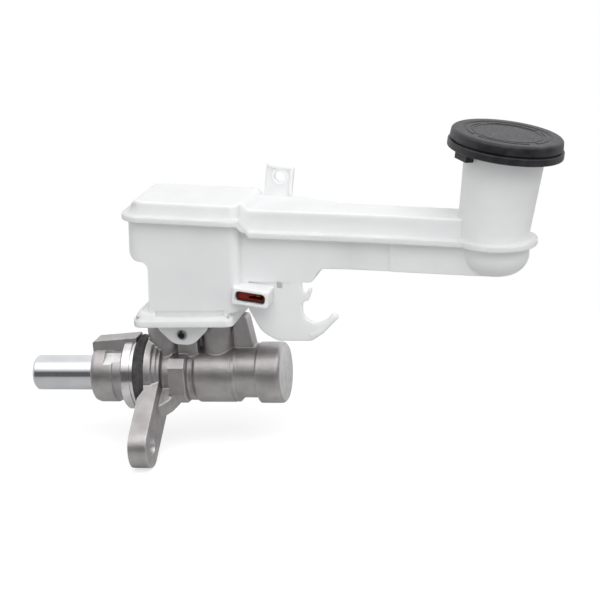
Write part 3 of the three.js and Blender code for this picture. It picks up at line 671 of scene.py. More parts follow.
def port_tools():
    """The outlets: a faced boss, a threaded mouth and a drilling into the bore."""
    tools = []
    for x in OUTLET_XS:
        profile = [(OUTLET_FACE + 1, 0), (OUTLET_FACE + 1, 6.0), (OUTLET_FACE, 5.6)]
        pitch = 1.0
        turns = 12
        for turn in range(turns):
            along = OUTLET_FACE - 0.4 - turn * pitch
            profile += [(along, 5.0), (along - pitch / 2, 4.55)]
        profile += [(13, 4.9), (13, 0)]
        tools.append(turned("y", profile, (x, 0, 0), 48))
        tools.append(bar("y", 2, 0, OUTLET_FACE, (x, 0, 0), 24))
        tools.append(tube("y", 0.001, 10, OUTLET_FACE, OUTLET_FACE + 2, (x, 0, 0), 48))
    return tools


def inlet_tools():
    """The grommet seats on top, and the drillings down to the bore."""
    tools = []
    for x in INLET_XS:
        seat = rounded([
            (INLET_FLOOR, 0), (INLET_FLOOR, GROMMET_SEAT), (INLET_TOP - 0.5, GROMMET_SEAT),
            (INLET_TOP, GROMMET_SEAT + 0.5), (INLET_TOP, 12), (INLET_TOP + 2, 12), (INLET_TOP + 2, 0),
        ])
        tools.append(turned("z", seat, (x, 0, 0), 64))
    feed = bar("z", 1.6, -21, 0, steps=24)
    moved(feed, turn_about("Y", 42))
    tools.append(moved(feed, Matrix.Translation((INLET_XS[0] * MM, 0, (INLET_FLOOR + 0.5) * MM))))
    tools.append(bar("z", 2.7, 0, INLET_TOP, (INLET_XS[1], 0, 0), 32))
    return tools


def bore_tools():
    """The bore, the guide's and snap ring's seats, the seal grooves and the fluid chambers."""
    nose = turned("x", [
        (-31, 0), (-31, 13.9), (-29.6, 13.2), (-29.0, 13), (-29.0, 13.9), (-27.8, 13.9),
        (-27.8, 13), (-17.5, 13), (-17.5, 0),
    ])
    tools = [
        tube("x", 0.001, 24, -33, -29.6),
        nose,
        bar("x", BORE_RADIUS, -30.5, 70, steps=96),
        bar("x", 11, -10.5, -3.6),
        bar("x", 11, 33.5, 41.5),
    ]
    for start in SEAL_STARTS:
        tools.append(bar("x", 12.4, start - 0.2, start + 4.2, steps=96))
    return tools


def ear_hole_tools():
    """The two stud holes, countersunk a little on both faces."""
    profile = [
        (-1, 0), (-1, EAR_HOLE + 0.9), (0.5, EAR_HOLE), (FLANGE_FRONT - 0.5, EAR_HOLE),
        (FLANGE_FRONT + 1, EAR_HOLE + 0.9), (FLANGE_FRONT + 1, 0),
    ]
    return [turned("x", profile, ear_hole * side, 64) for side in (1, -1)]


def nose_window():
    """The slanted opening in the side of the nose."""
    return prism("x", [(-20, 5), (-14.9, 7.9), (-6.1, 13), (-6.1, 20), (-20, 20)], -22.3, -13.2)


def barrel_groove():
    """The shallow groove before the waist, which stops at the fin and at the front outlet's boss."""
    groove = tube("x", BIG_RADIUS - 0.3, 18, WAIST_START - 4.1, WAIST_START - 2.3)
    on_top = block((WAIST_START - 5, -20, 11), (WAIST_START, 20, 20))
    beside_boss = block((WAIST_START - 5, 0, -20), (WAIST_START, 20, 20))
    return cut(groove, on_top, beside_boss)


def cylinder_body():
    """The casting: rough skin first, then everything that is faced, turned, bored or drilled into it."""
    skin = join(painted(CAST, barrel()), saddle(), *ears(), *bosses())
    painted(CAST, skin)
    soften(skin, 0.4, 5)
    faced_tools = [*end_tool(), *port_tools(), *inlet_tools(), *bore_tools(), *ear_hole_tools()]
    painted(FACED, *faced_tools)
    cut(skin, painted(MACHINED, pilot_tool()))
    join(skin, nose_key())
    window = nose_window()
    pin_hole = bar("y", PIN_RADIUS + 0.1, -40, 40, (PIN_X, 0, PIN_Z), 32)
    groove = barrel_groove()
    painted(FACED, window)
    painted(CAST, pin_hole, groove)
    cut(skin, window, pin_hole, groove, *faced_tools)
    return place(skin, "cylinder_casting", "body", UNIT, "cast_aluminium", ["cylinder_body"], 40)


# ---------------------------------------------------------------- pieces in and on the bore


def primary_piston():
    r = PISTON_RADIUS
    outside = turned("x", rounded([
        (PISTON_TIP, 0), (PISTON_TIP, r - 1.4, 0.3), (PISTON_TIP + 1.4, r, 0.5), (PISTON_FRONT, r, 0.4),
        (PISTON_FRONT, 0),
    ]), steps=128)
    socket = turned("x", rounded([
        (PISTON_TIP - 1, 0), (PISTON_TIP - 1, 6.6), (PISTON_TIP + 0.2, 5.9, 0.4),
        (PISTON_TIP + 1, 5.6), (-31, 5.6, 1), (-30, 4.6), (-30, 0),
    ]), steps=64)
    spring_room = bar("x", 7.8, -18, PISTON_FRONT + 1)
    screw_hole = bar("x", 1.5, -23, -17, steps=24)
    painted(STEEL, outside, socket, spring_room, screw_hole)
    cut(outside, socket, spring_room, screw_hole)
    return place(outside, "piston_rod", "primary_piston", UNIT, "polished_steel", ["primary_piston"])


def flange_seal():
    seal = turned("x", rounded([
        (-4.05, 17.6), (-4.05, 20.3, 0.5), (-3.2, 21.0, 0.4), (-1.6, 20.5, 0.5), (-0.6, 20.5, 0.5),
        (0.8, 21.15, 0.4), (1.85, 20.7, 0.4), (1.85, 17.6),
    ], 4) + [(-4.05, 17.6)], steps=128)
    painted(RUBBER, seal)
    return place(seal, "flange_ring_seal", "body", UNIT, "black_rubber", ["flange_seal"])


def piston_guide():
    guide = turned("x", rounded([
        (-27.5, 9.65), (-27.5, 12.85, 0.4), (-17.8, 12.85, 0.4), (-17.8, 9.65),
    ], 4) + [(-27.5, 9.65)], steps=96)
    painted(BLACK, guide)
    return place(guide, "bore_guide", "body", UNIT, "black_plastic", ["piston_guide"])


def snap_ring():
    ring = turned("x", rounded([
        (-28.85, 11), (-28.85, 13.7, 0.2), (-27.95, 13.7, 0.2), (-27.95, 11),
    ], 3) + [(-28.85, 11)], steps=96)
    painted(SPRING, ring)
    gap = painted(SPRING, block((-31, -2.5, -20), (-25, 2.5, 0)))
    cut(ring, gap)
    return place(ring, "bore_snap_ring", "body", UNIT, "spring_steel", ["piston_snap_ring"])


def reservoir_pin():
    """A rolled spring pin, open along its top."""
    low, high = pin_low.y, pin_high.y
    profile = rounded([
        (low, 1.8), (low, 2.2, 0.15), (low + 1, PIN_RADIUS, 0.4), (high - 1, PIN_RADIUS, 0.4),
        (high, 2.2, 0.15), (high, 1.8),
    ], 3)
    pin = turned("y", profile + [profile[0]], (PIN_X, 0, PIN_Z), 48)
    slit = block((PIN_X - 0.45, low - 1, PIN_Z), (PIN_X + 0.45, high + 1, PIN_Z + 4))
    painted(SPRING, pin, slit)
    cut(pin, slit)
    return place(pin, "cross_pin", "body", UNIT, "spring_steel", ["reservoir_pin"])


def grommets():
    """The rubber bushes under the reservoir's nipples, each with a small bead at its mouth."""
    for x, name in zip(INLET_XS, ("rear", "front")):
        grommet = turned("z", rounded([
            (22.3, 5.4), (22.3, 7.3, 0.4), (26, 7.3), (27, 7.1), (28, 7.3), (INLET_TOP + 2.4, 7.3, 0.5),
            (INLET_TOP + 3, 6.6, 0.3), (INLET_TOP + 3, 5.4),
        ], 3) + [(22.3, 5.4)], (x, 0, 0), 64)
        painted(RUBBER, grommet)
        place(grommet, f"{name}_inlet_bush", "body", UNIT, "black_rubber", [f"{name}_inlet_grommet"])


# ---------------------------------------------------------------- reservoir shells

WALL = 2.2
TANK_LEFT = -5.2
TANK_WAIST = 6.8
TANK_SHELF = 69.0
TANK_RIGHT = 55.2
TANK_HALF = 22.5
TANK_TOP = 101.2
ARM_HALF = 11.0
ARM_TOP = 97.6
ARM_BOTTOM = 67.5
ARM_STEP = 134.0
ARM_RECESS = 0.6
CHAMBER_END = 93.0
CHAMBER_BOTTOM = 59.0
RAMP_START = 55.5
RAMP_END = 60.5
SEAM_OVERHANG = 3.2
SEAM_HALF = 1.6
RIM_RADIUS = 20.8
BOWL_X = 187.0
BOWL_FLOOR = 67.2
BOWL_FLAT = 6.0
BOWL_BEND = 11.4
SKIRT_BOTTOM = 33.0
SKIRT_KNEE = 36.5
SKIRT_FLOOR = 40.5
SHADOW_LINE = 38.6
SKIRT_HALF = 25.5
SKIRT_LEFT = 0.2
SKIRT_RIGHT = 55.5
PLATE_FRONT = -12.9
PLATE_BACK = -10.3
SOCKET_X = (53.0, 72.4)
SOCKET_Z = (48.8, 57.8)
SOCKET_FRONT = -25.0
SOCKET_BACK = 10.0
SOCKET_SLOPE = 5.6
NIPPLE_RADIUS = 5.1
NIPPLE_BORE = 2.8
CLEAR = GAP / 2
LEVELLED = Matrix.Rotation(-RESERVOIR_TILT, 4, "Y")


def plan(inset):
    """The reservoir seen from above, drawn in by `inset`."""
    half = TANK_HALF - inset
    arm = ARM_HALF - inset
    left = TANK_LEFT + inset
    right = TANK_RIGHT - inset
    corner = 9 - inset
    return rounded([
        (left, half, corner),
        (left, -half, corner),
        (right, -half, max(4 - inset, 1)),
        (right, -14.6 + inset, 0 if inset > 0 else 1),
        (101, -arm - 1, 8),
        (125, -arm),
        (NECK_X, -arm),
        (NECK_X, arm),
        (104 - inset, arm, 8),
        (77 - inset, half - 1, 6),
    ], 10)


def seam_line(lift):
    return [
        (-20, SEAM_TANK + lift),
        (RAMP_START, SEAM_TANK + lift),
        (RAMP_END, SEAM_ARM + lift),
        (215, SEAM_ARM + lift),
    ]


def lower_side(inset, lift):
    """The lower shell from the side, drawn in by `inset`, up to the parting line raised by `lift`."""
    left = TANK_LEFT + inset
    waist = TANK_WAIST + inset
    right = TANK_RIGHT - inset
    rise = (TANK_RIGHT - TANK_WAIST) * math.tan(RESERVOIR_TILT)
    return rounded([
        (left, SEAM_TANK + lift),
        (left, TANK_SHELF + inset, 7 - inset),
        (waist, TANK_SHELF + inset - 0.4, 4),
        (waist, SKIRT_FLOOR + inset),
        (right, SKIRT_FLOOR + rise + inset),
        (right, CHAMBER_BOTTOM + inset),
        (CHAMBER_END - inset, CHAMBER_BOTTOM + 0.8 + inset, 3),
        (CHAMBER_END + 4 - inset, ARM_BOTTOM + inset, 4),
        (NECK_X, ARM_BOTTOM + 0.5 + inset),
        (NECK_X, SEAM_ARM + lift),
        (RAMP_END, SEAM_ARM + lift),
        (RAMP_START, SEAM_TANK + lift),
    ], 8)


def upper_side(inset, lift):
    """The upper shell from the side, drawn in by `inset`, down to the parting line raised by `lift`."""
    return rounded([
        (TANK_LEFT + inset, SEAM_TANK + lift),
        (RAMP_START, SEAM_TANK + lift),
        (RAMP_END, SEAM_ARM + lift),
        (NECK_X, SEAM_ARM + lift),
        (NECK_X, ARM_TOP - inset),
        (TANK_RIGHT + 4 - inset, ARM_TOP - inset, 2),
        (TANK_RIGHT + 1 - inset, TANK_TOP - inset, 2),
        (TANK_LEFT + inset, TANK_TOP - inset, 4 - inset),
    ], 8)


def bowl(inset, top):
    """The round end of the arm under the neck, drawn in by `inset`."""
    bend = BOWL_BEND - inset
    profile = [(BOWL_FLOOR + inset, 0)]
    for step in range(13):
        angle = math.pi / 2 * step / 12
        profile.append((BOWL_FLOOR + BOWL_BEND - bend * math.cos(angle), BOWL_FLAT + bend * math.sin(angle)))
    profile += [(top, BOWL_FLAT + bend), (top, 0)]
    return turned("z", profile, (BOWL_X, 0, 0))


def seam_flange(low, high, wider=0.0):
    """The rim of one shell between two heights above the parting line."""
    band = seam_line(low) + seam_line(high)[::-1]
    strip = common(prism("y", band, -40, 40), prism("z", plan(-SEAM_OVERHANG - wider), 60, 110))
    disc = bar("z", RIM_RADIUS + wider, SEAM_ARM + low, SEAM_ARM + high, (BOWL_X + 0.4, 0, 0), 96)
    return join(strip, disc)


def weld_bead():
    """The round bead that the two rims were welded with, all round their edge."""
    bead = cut(seam_flange(-1.5, 1.5, 0.3), seam_flange(-3, 3, -1.2))
    soften(painted(MILKY, bead), 0.35, 3)
    return place(bead, "tank_weld_bead", "body", TANK, "milky_plastic")


def skirt():
    """The flared skirt over the inlet bosses, drawn level: a low belt, a slope and the tank's foot."""
    inner = TANK_HALF - 0.2
    rows = [
        (SKIRT_BOTTOM, SKIRT_HALF, SKIRT_LEFT, SKIRT_RIGHT),
        (SKIRT_KNEE, SKIRT_HALF, SKIRT_LEFT, SKIRT_RIGHT),
        (SKIRT_KNEE + 4.5, inner, SKIRT_LEFT + 3, SKIRT_RIGHT - 3),
    ]
    points = []
    count = 0
    for height, half, left, right in rows:
        outline = rounded([(left, half, 6), (left, -half, 6), (right, -half, 4), (right, half, 4)], 8)
        count = len(outline)
        points += [(x, y, height) for x, y in outline]
    faces = [tuple(range(count)), tuple(range(2 * count, 3 * count))]
    for row in range(2):
        for i in range(count):
            n = (i + 1) % count
            low = row * count
            faces.append((low + i, low + n, low + count + n, low + count + i))
    belt = facing_one_way(solid(points, faces))
    heel = [
        (SKIRT_LEFT, SKIRT_BOTTOM), (SKIRT_LEFT, SKIRT_KNEE), (SKIRT_LEFT + 8, SKIRT_KNEE + 7),
        (20, SKIRT_KNEE + 7), (20, SKIRT_BOTTOM),
    ]
    return join(belt, prism("y", heel, 6 - SKIRT_HALF, SKIRT_HALF - 6))


def hook_plate():
    """The hanging plate with its open harness hook, drawn level."""
    outline = rounded([
        (60.5, 58), (61.5, 40, 8), (67.5, 27, 12), (76, 21.6, 8), (94.5, 21.4, 6), (101, 25.5, 5),
        (110.3, 34.4, 0.8), (107.4, 37, 0.8), (103.6, 33.4, 1), (97.8, 30.4, 6), (90.7, 35, 6),
        (91, 43.5, 3), (94.4, 43.6), (96.8, 49.5, 0.6), (94.6, 50.4, 0.6), (94.2, 47.4),
        (91.6, 48.4), (91, 56),
    ], 6)
    plate = prism("y", outline, PLATE_FRONT, PLATE_BACK)
    rib = [(94.5, 22.6), (101, 26.6), (108.6, 34), (107.6, 35.4), (100, 28), (94, 25)]
    return join(plate, prism("y", rib, PLATE_FRONT - 0.5, PLATE_BACK - 0.5))


def pin_lugs():
    """The lugs that the cross pin passes through, drawn level."""
    outline = rounded([
        (11.5, 38.5), (12, 29.6, 4), (20, 21.2, 9), (30.5, 20.6, 9), (39, 28.8, 4), (40.5, 38.5),
    ], 6)
    return join(prism("y", outline, -16.9, -14.1), prism("y", outline, 14.1, 16.9))


def in_socket(obj):
    """Tilts a solid drawn level about the sensor pocket's middle to the pocket's own slope."""
    middle = (sum(SOCKET_X) / 2, 0, sum(SOCKET_Z) / 2)
    return moved(obj, turn_about("Y", SOCKET_SLOPE, middle))


def socket_block(inset, front, back, corner=0.0):
    (x0, x1), (z0, z1) = SOCKET_X, SOCKET_Z
    outline = rounded([
        (x0 + inset, z0 + inset, corner), (x1 - inset, z0 + inset, corner),
        (x1 - inset, z1 - inset, corner), (x0 + inset, z1 - inset, corner),
    ], 6)
    return in_socket(prism("y", outline, front, back))


def arm_recess():
    """The wedge that thins the arm's near wall towards its step."""
    flat = ARM_RECESS - ARM_HALF
    outline = [(99, -20), (99, flat - 1.7), (112, flat - 0.4), (ARM_STEP, flat), (ARM_STEP, -20)]
    return prism("z", outline, ARM_BOTTOM - 8, SEAM_ARM - 2.4)


def inlet_bores():
    """The ways down through the nipples, drawn level. The tank's end wall stands over the rear one, so it
    ends low and a riser beside it opens inside that wall."""
    rear, front = INLET_XS
    return [
        bar("z", NIPPLE_BORE, INLET_FLOOR, SKIRT_FLOOR - GAP, (rear, 0, 0), 48),
        bar("z", NIPPLE_BORE, INLET_FLOOR, SKIRT_FLOOR + 5, (front, 0, 0), 48),
        block((rear + 1, -2.4, SKIRT_FLOOR - 3), (rear + 3.7, 2.4, SKIRT_FLOOR + 4)),
    ]


def lower_shell():
    """The lower half of the tank: its soft outside, then what is hollow, and the nipples last."""
    level = [moved(part, LEVELLED) for part in (skirt(), hook_plate(), pin_lugs())]
    outside = common(
        prism("y", lower_side(0, -CLEAR), -40, 40),
        prism("z", plan(0), 20, 110),
    )
    shadow = block((TANK_WAIST + 6, -30, SHADOW_LINE), (TANK_RIGHT - 4, 0.9 - TANK_HALF, SHADOW_LINE + 2.8))
    cut(outside, arm_recess())
    skin = join(
        outside,
        bowl(0, SEAM_ARM - CLEAR),
        seam_flange(-SEAM_HALF, -CLEAR),
        socket_block(0, SOCKET_FRONT, SOCKET_BACK, 0.8),
        *level,
    )
    cut(skin, moved(shadow, LEVELLED))
    soften(painted(MILKY, skin), 0.45, 4)
    hollow = common(
        prism("y", lower_side(WALL, 6), -40, 40),
        prism("z", plan(WALL), 20, 110),
    )
    post = bar("z", 2.2, CHAMBER_BOTTOM + 1, 87.5, (74, 0, 0), 32)
    cut(hollow, socket_block(-0.1, SOCKET_FRONT, SOCKET_BACK + 0.1, 0.8), post)
    under = block(
        (SKIRT_LEFT + WALL, WALL - SKIRT_HALF, SKIRT_BOTTOM - 1),
        (SKIRT_RIGHT - WALL, SKIRT_HALF - WALL, SKIRT_FLOOR - WALL),
    )
    pipes = []
    for x in INLET_XS:
        pipes.append(tube("z", NIPPLE_BORE, NIPPLE_RADIUS, INLET_FLOOR + 3, SKIRT_FLOOR + 2, (x, 0, 0), 48))
    bores = inlet_bores()
    pin_hole = bar("y", PIN_RADIUS + 0.15, -40, 40, (PIN_X, 0, PIN_Z), 40)
    for part in (under, pin_hole, *bores, *pipes):
        moved(part, LEVELLED)
    notch = moved(block((78, -20, 50.4), (81, 0, 54)), LEVELLED)
    tools = [hollow, bowl(WALL, SEAM_ARM + 6), under, pin_hole, *bores, notch]
    tools.append(socket_block(1.6, SOCKET_FRONT - 1, SOCKET_BACK - 1.6, 2.2))
    painted(MILKY, *tools)
    painted(MILKY, *pipes)
    cut(skin, *tools)
    join(skin, *pipes)
    return place(skin, "tank_lower_shell", "body", TANK, "milky_plastic", ["reservoir_lower_shell"])


NECK_BASE = 18.2
NECK_TOP_RADIUS = 20.8
NECK_TOP = 48.5
DRAFT = 0.0085
END_DRAFT = 0.4
TAB_X = 67.5
TAB_SLOPE = 5.6
EYE_X = 67.8
EYE_Z = 108.2
EYE_RADIUS = 3
NECK_TO_TANK = Matrix.Translation((NECK_X * MM, 0, SEAM_ARM * MM)) @ Matrix.Rotation(NECK_TILT, 4, "Y")


def neck_cone(inset, start, end):
    slope = (NECK_TOP_RADIUS - NECK_BASE) / NECK_TOP
    profile = [
        (start, 0),
        (start, NECK_BASE + slope * start - inset),
        (end, NECK_BASE + slope * end - inset),
        (end, 0),
    ]
    return moved(turned("z", profile, steps=128), NECK_TO_TANK)


def mounting_tab():
    """The upright eye at the arm's back edge, with its raised rim along the top and one side."""
    x, half, height = TAB_X, 7.6, 17.2
    outline = rounded([
        (x - half, ARM_TOP - 4), (x + half, ARM_TOP - 4),
        (x + half, ARM_TOP + height, 1.5), (x - half, ARM_TOP + height, 1.5),
    ])
    top = ARM_TOP + height
    plate = prism("y", outline, 19, 21.5)
    rims = [
        block((x - half + 1, 17.8, top - 1.8), (x + half, 19.5, top)),
        block((x + half - 1.8, 17.8, ARM_TOP + 2), (x + half, 19.5, top)),
    ]
    collar = tube("y", EYE_RADIUS, 4.4, 18.2, 19.5, (EYE_X, 0, EYE_Z), 48)
    return moved(join(plate, *rims, collar), turn_about("Y", TAB_SLOPE, (TAB_X, 0, ARM_TOP)))


def lean_in(obj):
    """Draft on the upper shell's walls: they lean in towards the top, less so at the eye and the neck."""
    mesh = obj.data
    points = np.empty(len(mesh.vertices) * 3)
    mesh.vertices.foreach_get("co", points)
    points = points.reshape(-1, 3)
    x, y, z = (points / MM).T
    foot = np.interp(x, (RAMP_START, RAMP_END), (SEAM_TANK, SEAM_ARM)) + SEAM_HALF
    lift = np.clip(z - foot, 0, ARM_TOP - SEAM_ARM)
    before_neck = np.interp(x, (145, 166), (1, 0))
    before_eye = np.where(y > 0, np.interp(x, (42, 56), (1, 0)), 1)
    points[:, 1] *= 1 - DRAFT * lift * before_neck * before_eye
    points[:, 0] += END_DRAFT * lift * np.interp(x, (TANK_LEFT, 14), (1, 0)) * MM
    mesh.vertices.foreach_set("co", points.ravel())
    mesh.update()


def upper_shell():
    """The upper half of the tank with the filler neck: its drafted outside, then what is hollow."""
    outside = common(
        prism("y", upper_side(0, CLEAR), -40, 40),
        prism("z", plan(0), 20, 110),
    )
    above_seam = block((NECK_X - 40, -40, SEAM_ARM + CLEAR), (NECK_X + 40, 40, SEAM_ARM + 80))
    neck = common(neck_cone(0, -6, NECK_TOP), above_seam)
    foot_radius = BOWL_FLAT + BOWL_BEND
    foot = bar("z", foot_radius, SEAM_ARM + CLEAR, SEAM_ARM + 4, (BOWL_X, 0, 0), 96)
    skin = join(outside, neck, foot, seam_flange(CLEAR, SEAM_HALF), mounting_tab())
    soften(painted(MILKY, skin), 0.45, 4)
    lean_in(skin)
    hollow = common(
        prism("y", upper_side(WALL, -6), -40, 40),
        prism("z", plan(WALL), 20, 110),
    )
    eye = bar("y", EYE_RADIUS, 0, 40, (EYE_X, 0, EYE_Z), 48)
    moved(eye, turn_about("Y", TAB_SLOPE, (TAB_X, 0, ARM_TOP)))
    tools = [
        hollow,
        neck_cone(WALL, -8, NECK_TOP + 1),
        bar("z", foot_radius - WALL, SEAM_ARM - 6, SEAM_ARM + 5, (BOWL_X, 0, 0), 96),
        eye,
    ]
    painted(MILKY, *tools)
    cut(skin, *tools)
    return place(skin, "tank_upper_shell", "body", TANK, "milky_plastic", ["reservoir_upper_shell"])


# ---------------------------------------------------------------- filler cap

CAP_TOP = 56.6
CAP_BOTTOM = 46.8
CAP_RADIUS = 28.9
CAP_RING = 29.8
CAP_SPLIT = 50.9


def filler_cap():
    """The two-tier screw cap; its top carries plain raised arcs, and a lug hangs below its rim."""
    ceiling = CAP_TOP - 3.6
    body = turned("z", rounded([
        (CAP_TOP - 0.4, 0), (CAP_TOP - 0.4, 22.6, 0.4), (CAP_TOP, 23.2, 0.3),
        (CAP_TOP, CAP_RADIUS - 0.3, 1.7), (CAP_SPLIT + 0.8, CAP_RADIUS + 0.1, 0.3),
        (CAP_SPLIT + 0.4, CAP_RADIUS - 1.0), (CAP_SPLIT, CAP_RADIUS - 1.0),
        (CAP_SPLIT - 0.3, CAP_RING, 0.5), (CAP_BOTTOM, CAP_RING, 0.7), (CAP_BOTTOM, CAP_RING - 2.6),
        (ceiling, CAP_RING - 2.6), (ceiling, 24), (CAP_BOTTOM, 24), (CAP_BOTTOM, NECK_TOP_RADIUS + 0.5),
        (ceiling, NECK_TOP_RADIUS + 0.5), (ceiling, 0),
    ], 5), steps=160)
    lug = moved(block((-5, -27, CAP_BOTTOM - 4), (5, -22.2, CAP_BOTTOM + 1)), turn_about("Z", -48))
    ring = tube("z", 17.4, 18.0, CAP_TOP - 1, CAP_TOP - 0.25, steps=128)
    arcs = tube("z", 19.4, 21.0, CAP_TOP - 1, CAP_TOP - 0.2, steps=128)
    gaps = [moved(block((-2.5, -30, 40), (2.5, 30, 60)), turn_about("Z", turn)) for turn in (45, 135)]
    join(body, lug, ring, cut(arcs, *gaps))
    painted(BLACK, body)
    return place(body, "screw_cap", "filler_cap", NECK, "black_plastic", ["filler_cap"])


def cap_gasket():
    """The rubber diaphragm under the cap, with a sunk middle."""
    foot = NECK_TOP + 0.9 + 2 * GAP
    gasket = turned("z", rounded([
        (foot - 2.5, 0), (foot - 2.5, 9, 0.8), (foot, 11, 0.8), (foot, 20.3, 0.5), (foot + 2, 20.3, 0.5),
        (foot + 2, 12, 0.8), (foot - 1.3, 9.6, 0.8), (foot - 1.3, 0),
    ], 4), steps=96)
    painted(RUBBER, gasket)
    return place(gasket, "cap_diaphragm", "cap_gasket", NECK, "black_rubber", ["cap_gasket"])


def filler_strainer():
    """The basket in the neck, with a ladder of windows round its side."""
    rim = NECK_TOP + GAP
    foot = 22
    cup = turned("z", rounded([
        (foot, 0), (foot, 14.9, 1.5), (rim, 16.4), (rim, 19.6), (rim + 0.9, 19.6, 0.3),
        (rim + 0.9, 15.4, 0.5), (foot + 1, 13.9, 1), (foot + 1, 0),
    ], 4), steps=96)
    windows = []
    for turn in range(6):
        for step in range(5):
            low = foot + 3.5 + step * 3.9
            windows.append(moved(block((-30, -2.6, low), (30, 2.6, low + 2.8)), turn_about("Z", 30 * turn)))
    painted(NYLON, cup, *windows)
    cut(cup, *windows)
    return place(cup, "neck_strainer", "body", NECK, "white_plastic", ["filler_strainer"])


# ---------------------------------------------------------------- level sensing


def level_sensor():
    """The black reed housing and the red lip seal in its mouth, deep in the open pocket."""
    housing = socket_block(1.9, SOCKET_FRONT + 2.4, SOCKET_BACK - 1.9, 1.9)
    mouth = socket_block(2.6, SOCKET_FRONT - 1, -13, 1.4)
    painted(BLACK, housing, mouth)
    cut(housing, mouth)
    place(housing, "level_switch", "body", TANK, "black_plastic", ["level_sensor_body"])
    seal = socket_block(2.7, SOCKET_FRONT + 3, -13.4, 1.1)
    (x0, x1), (z0, z1) = SOCKET_X, SOCKET_Z
    edge = 3.3
    slot = rounded([
        (x0 + 8.5, z0 + edge, 0.5), (x1 - edge, z0 + edge, 0.5), (x1 - edge, z1 - edge, 0.5),
        (x1 - 6.5, z1 - edge, 0.5), (x0 + 8.5, z0 + 4.6, 0.5),
    ])
    hole = in_socket(prism("y", slot, SOCKET_FRONT, 0))
    painted(RED, seal, hole)
    cut(seal, hole)
    place(seal, "level_switch_seal", "body", TANK, "red_rubber", ["level_sensor_seal"])


# ---------------------------------------------------------------- build everything

cylinder_body()
primary_piston()
flange_seal()
piston_guide()
snap_ring()
reservoir_pin()
grommets()
lower_shell()
upper_shell()
weld_bead()
filler_cap()
cap_gasket()
filler_strainer()
level_sensor()

slots = {part["node"]: part["material_slot"] for part in frame["record"]["subparts"]}
for name, node in frame["nodes"].items():
    painted(FINISHES[slots[name]], node)

# ---------------------------------------------------------------- studio

low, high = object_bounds()
middle = (low + high) / 2
size = (high - low).length

CAMERA_AZIMUTH = math.radians(14.2)
CAMERA_ELEVATION = math.radians(16.0)
CAMERA_ROLL = math.radians(4.5)
CAMERA_DISTANCE = 1.0678
CAMERA_LENS = 121.1
AIM_RIGHT = 0.0040
AIM_UP = -0.0079

BACKDROP_WHITE = 1.0
EVEN_LIGHT = 0.6
FLOOR_ALBEDO = 0.5
FLOOR_GLOW = 0.66
FLOOR_SHEEN = 0.14
CAMERA_SIDE = ((0.4, 0.0), (0.62, 1.0))
ROOM_BEHIND_OBJECT = ((0.0, 0.3), (0.4, 0.65), (0.5, 0.85), (0.7, 1.0))
ROOM_BEHIND_CAMERA = ((0.0, 0.25), (0.3, 0.25), (0.42, 0.13), (0.65, 0.13), (0.74, 0.8), (0.86, 1.7))

back = Vector((
    math.sin(CAMERA_AZIMUTH) * math.cos(CAMERA_ELEVATION),
    -math.cos(CAMERA_AZIMUTH) * math.cos(CAMERA_ELEVATION),
    math.sin(CAMERA_ELEVATION),
))
right = Vector((math.cos(CAMERA_AZIMUTH), math.sin(CAMERA_AZIMUTH), 0))
up = back.cross(right)


def camera():
    data = bpy.data.cameras.new("camera")
    data.lens = CAMERA_LENS
    data.sensor_width = 36
    data.clip_start = 0.05
    data.clip_end = 30
    obj = bpy.data.objects.new("camera", data)
    bpy.context.scene.collection.objects.link(obj)
    rolled_right = right * math.cos(CAMERA_ROLL) - up * math.sin(CAMERA_ROLL)
    rolled_up = up * math.cos(CAMERA_ROLL) + right * math.sin(CAMERA_ROLL)
    turn = Matrix((rolled_right, rolled_up, back)).transposed().to_4x4()
    place_at = middle + right * AIM_RIGHT + up * AIM_UP + back * CAMERA_DISTANCE
    obj.matrix_world = Matrix.Translation(place_at) @ turn
    bpy.context.scene.camera = obj


def softbox(name, where, width, height, power):
    """A light aimed at the middle; what shines in reflections is the room instead."""
    data = bpy.data.lights.new(name, "AREA")
    data.shape = "RECTANGLE"
    data.size = width
    data.size_y = height
    data.energy = power
    obj = bpy.data.objects.new(name, data)
    bpy.context.scene.collection.objects.link(obj)
    direction = (middle - where).normalized()
    obj.matrix_world = Matrix.Translation(where) @ direction.to_track_quat("-Z", "Y").to_matrix().to_4x4()
    obj.visible_camera = False
    obj.visible_glossy = False


def gray_ramp(tree, value, stops):
    """A gray scale over a 0 to 1 value, from (position, brightness) stops."""
    ramp = tree.nodes.new("ShaderNodeValToRGB")
    elements = ramp.color_ramp.elements
    elements.remove(elements[1])
    elements[0].position = stops[0][0]
    elements[0].color = (stops[0][1],) * 3 + (1,)
    for position, brightness in stops[1:]:
        elements.new(position).color = (brightness,) * 3 + (1,)
    tree.links.new(value, ramp.inputs["Fac"])
    return ramp.outputs["Color"]


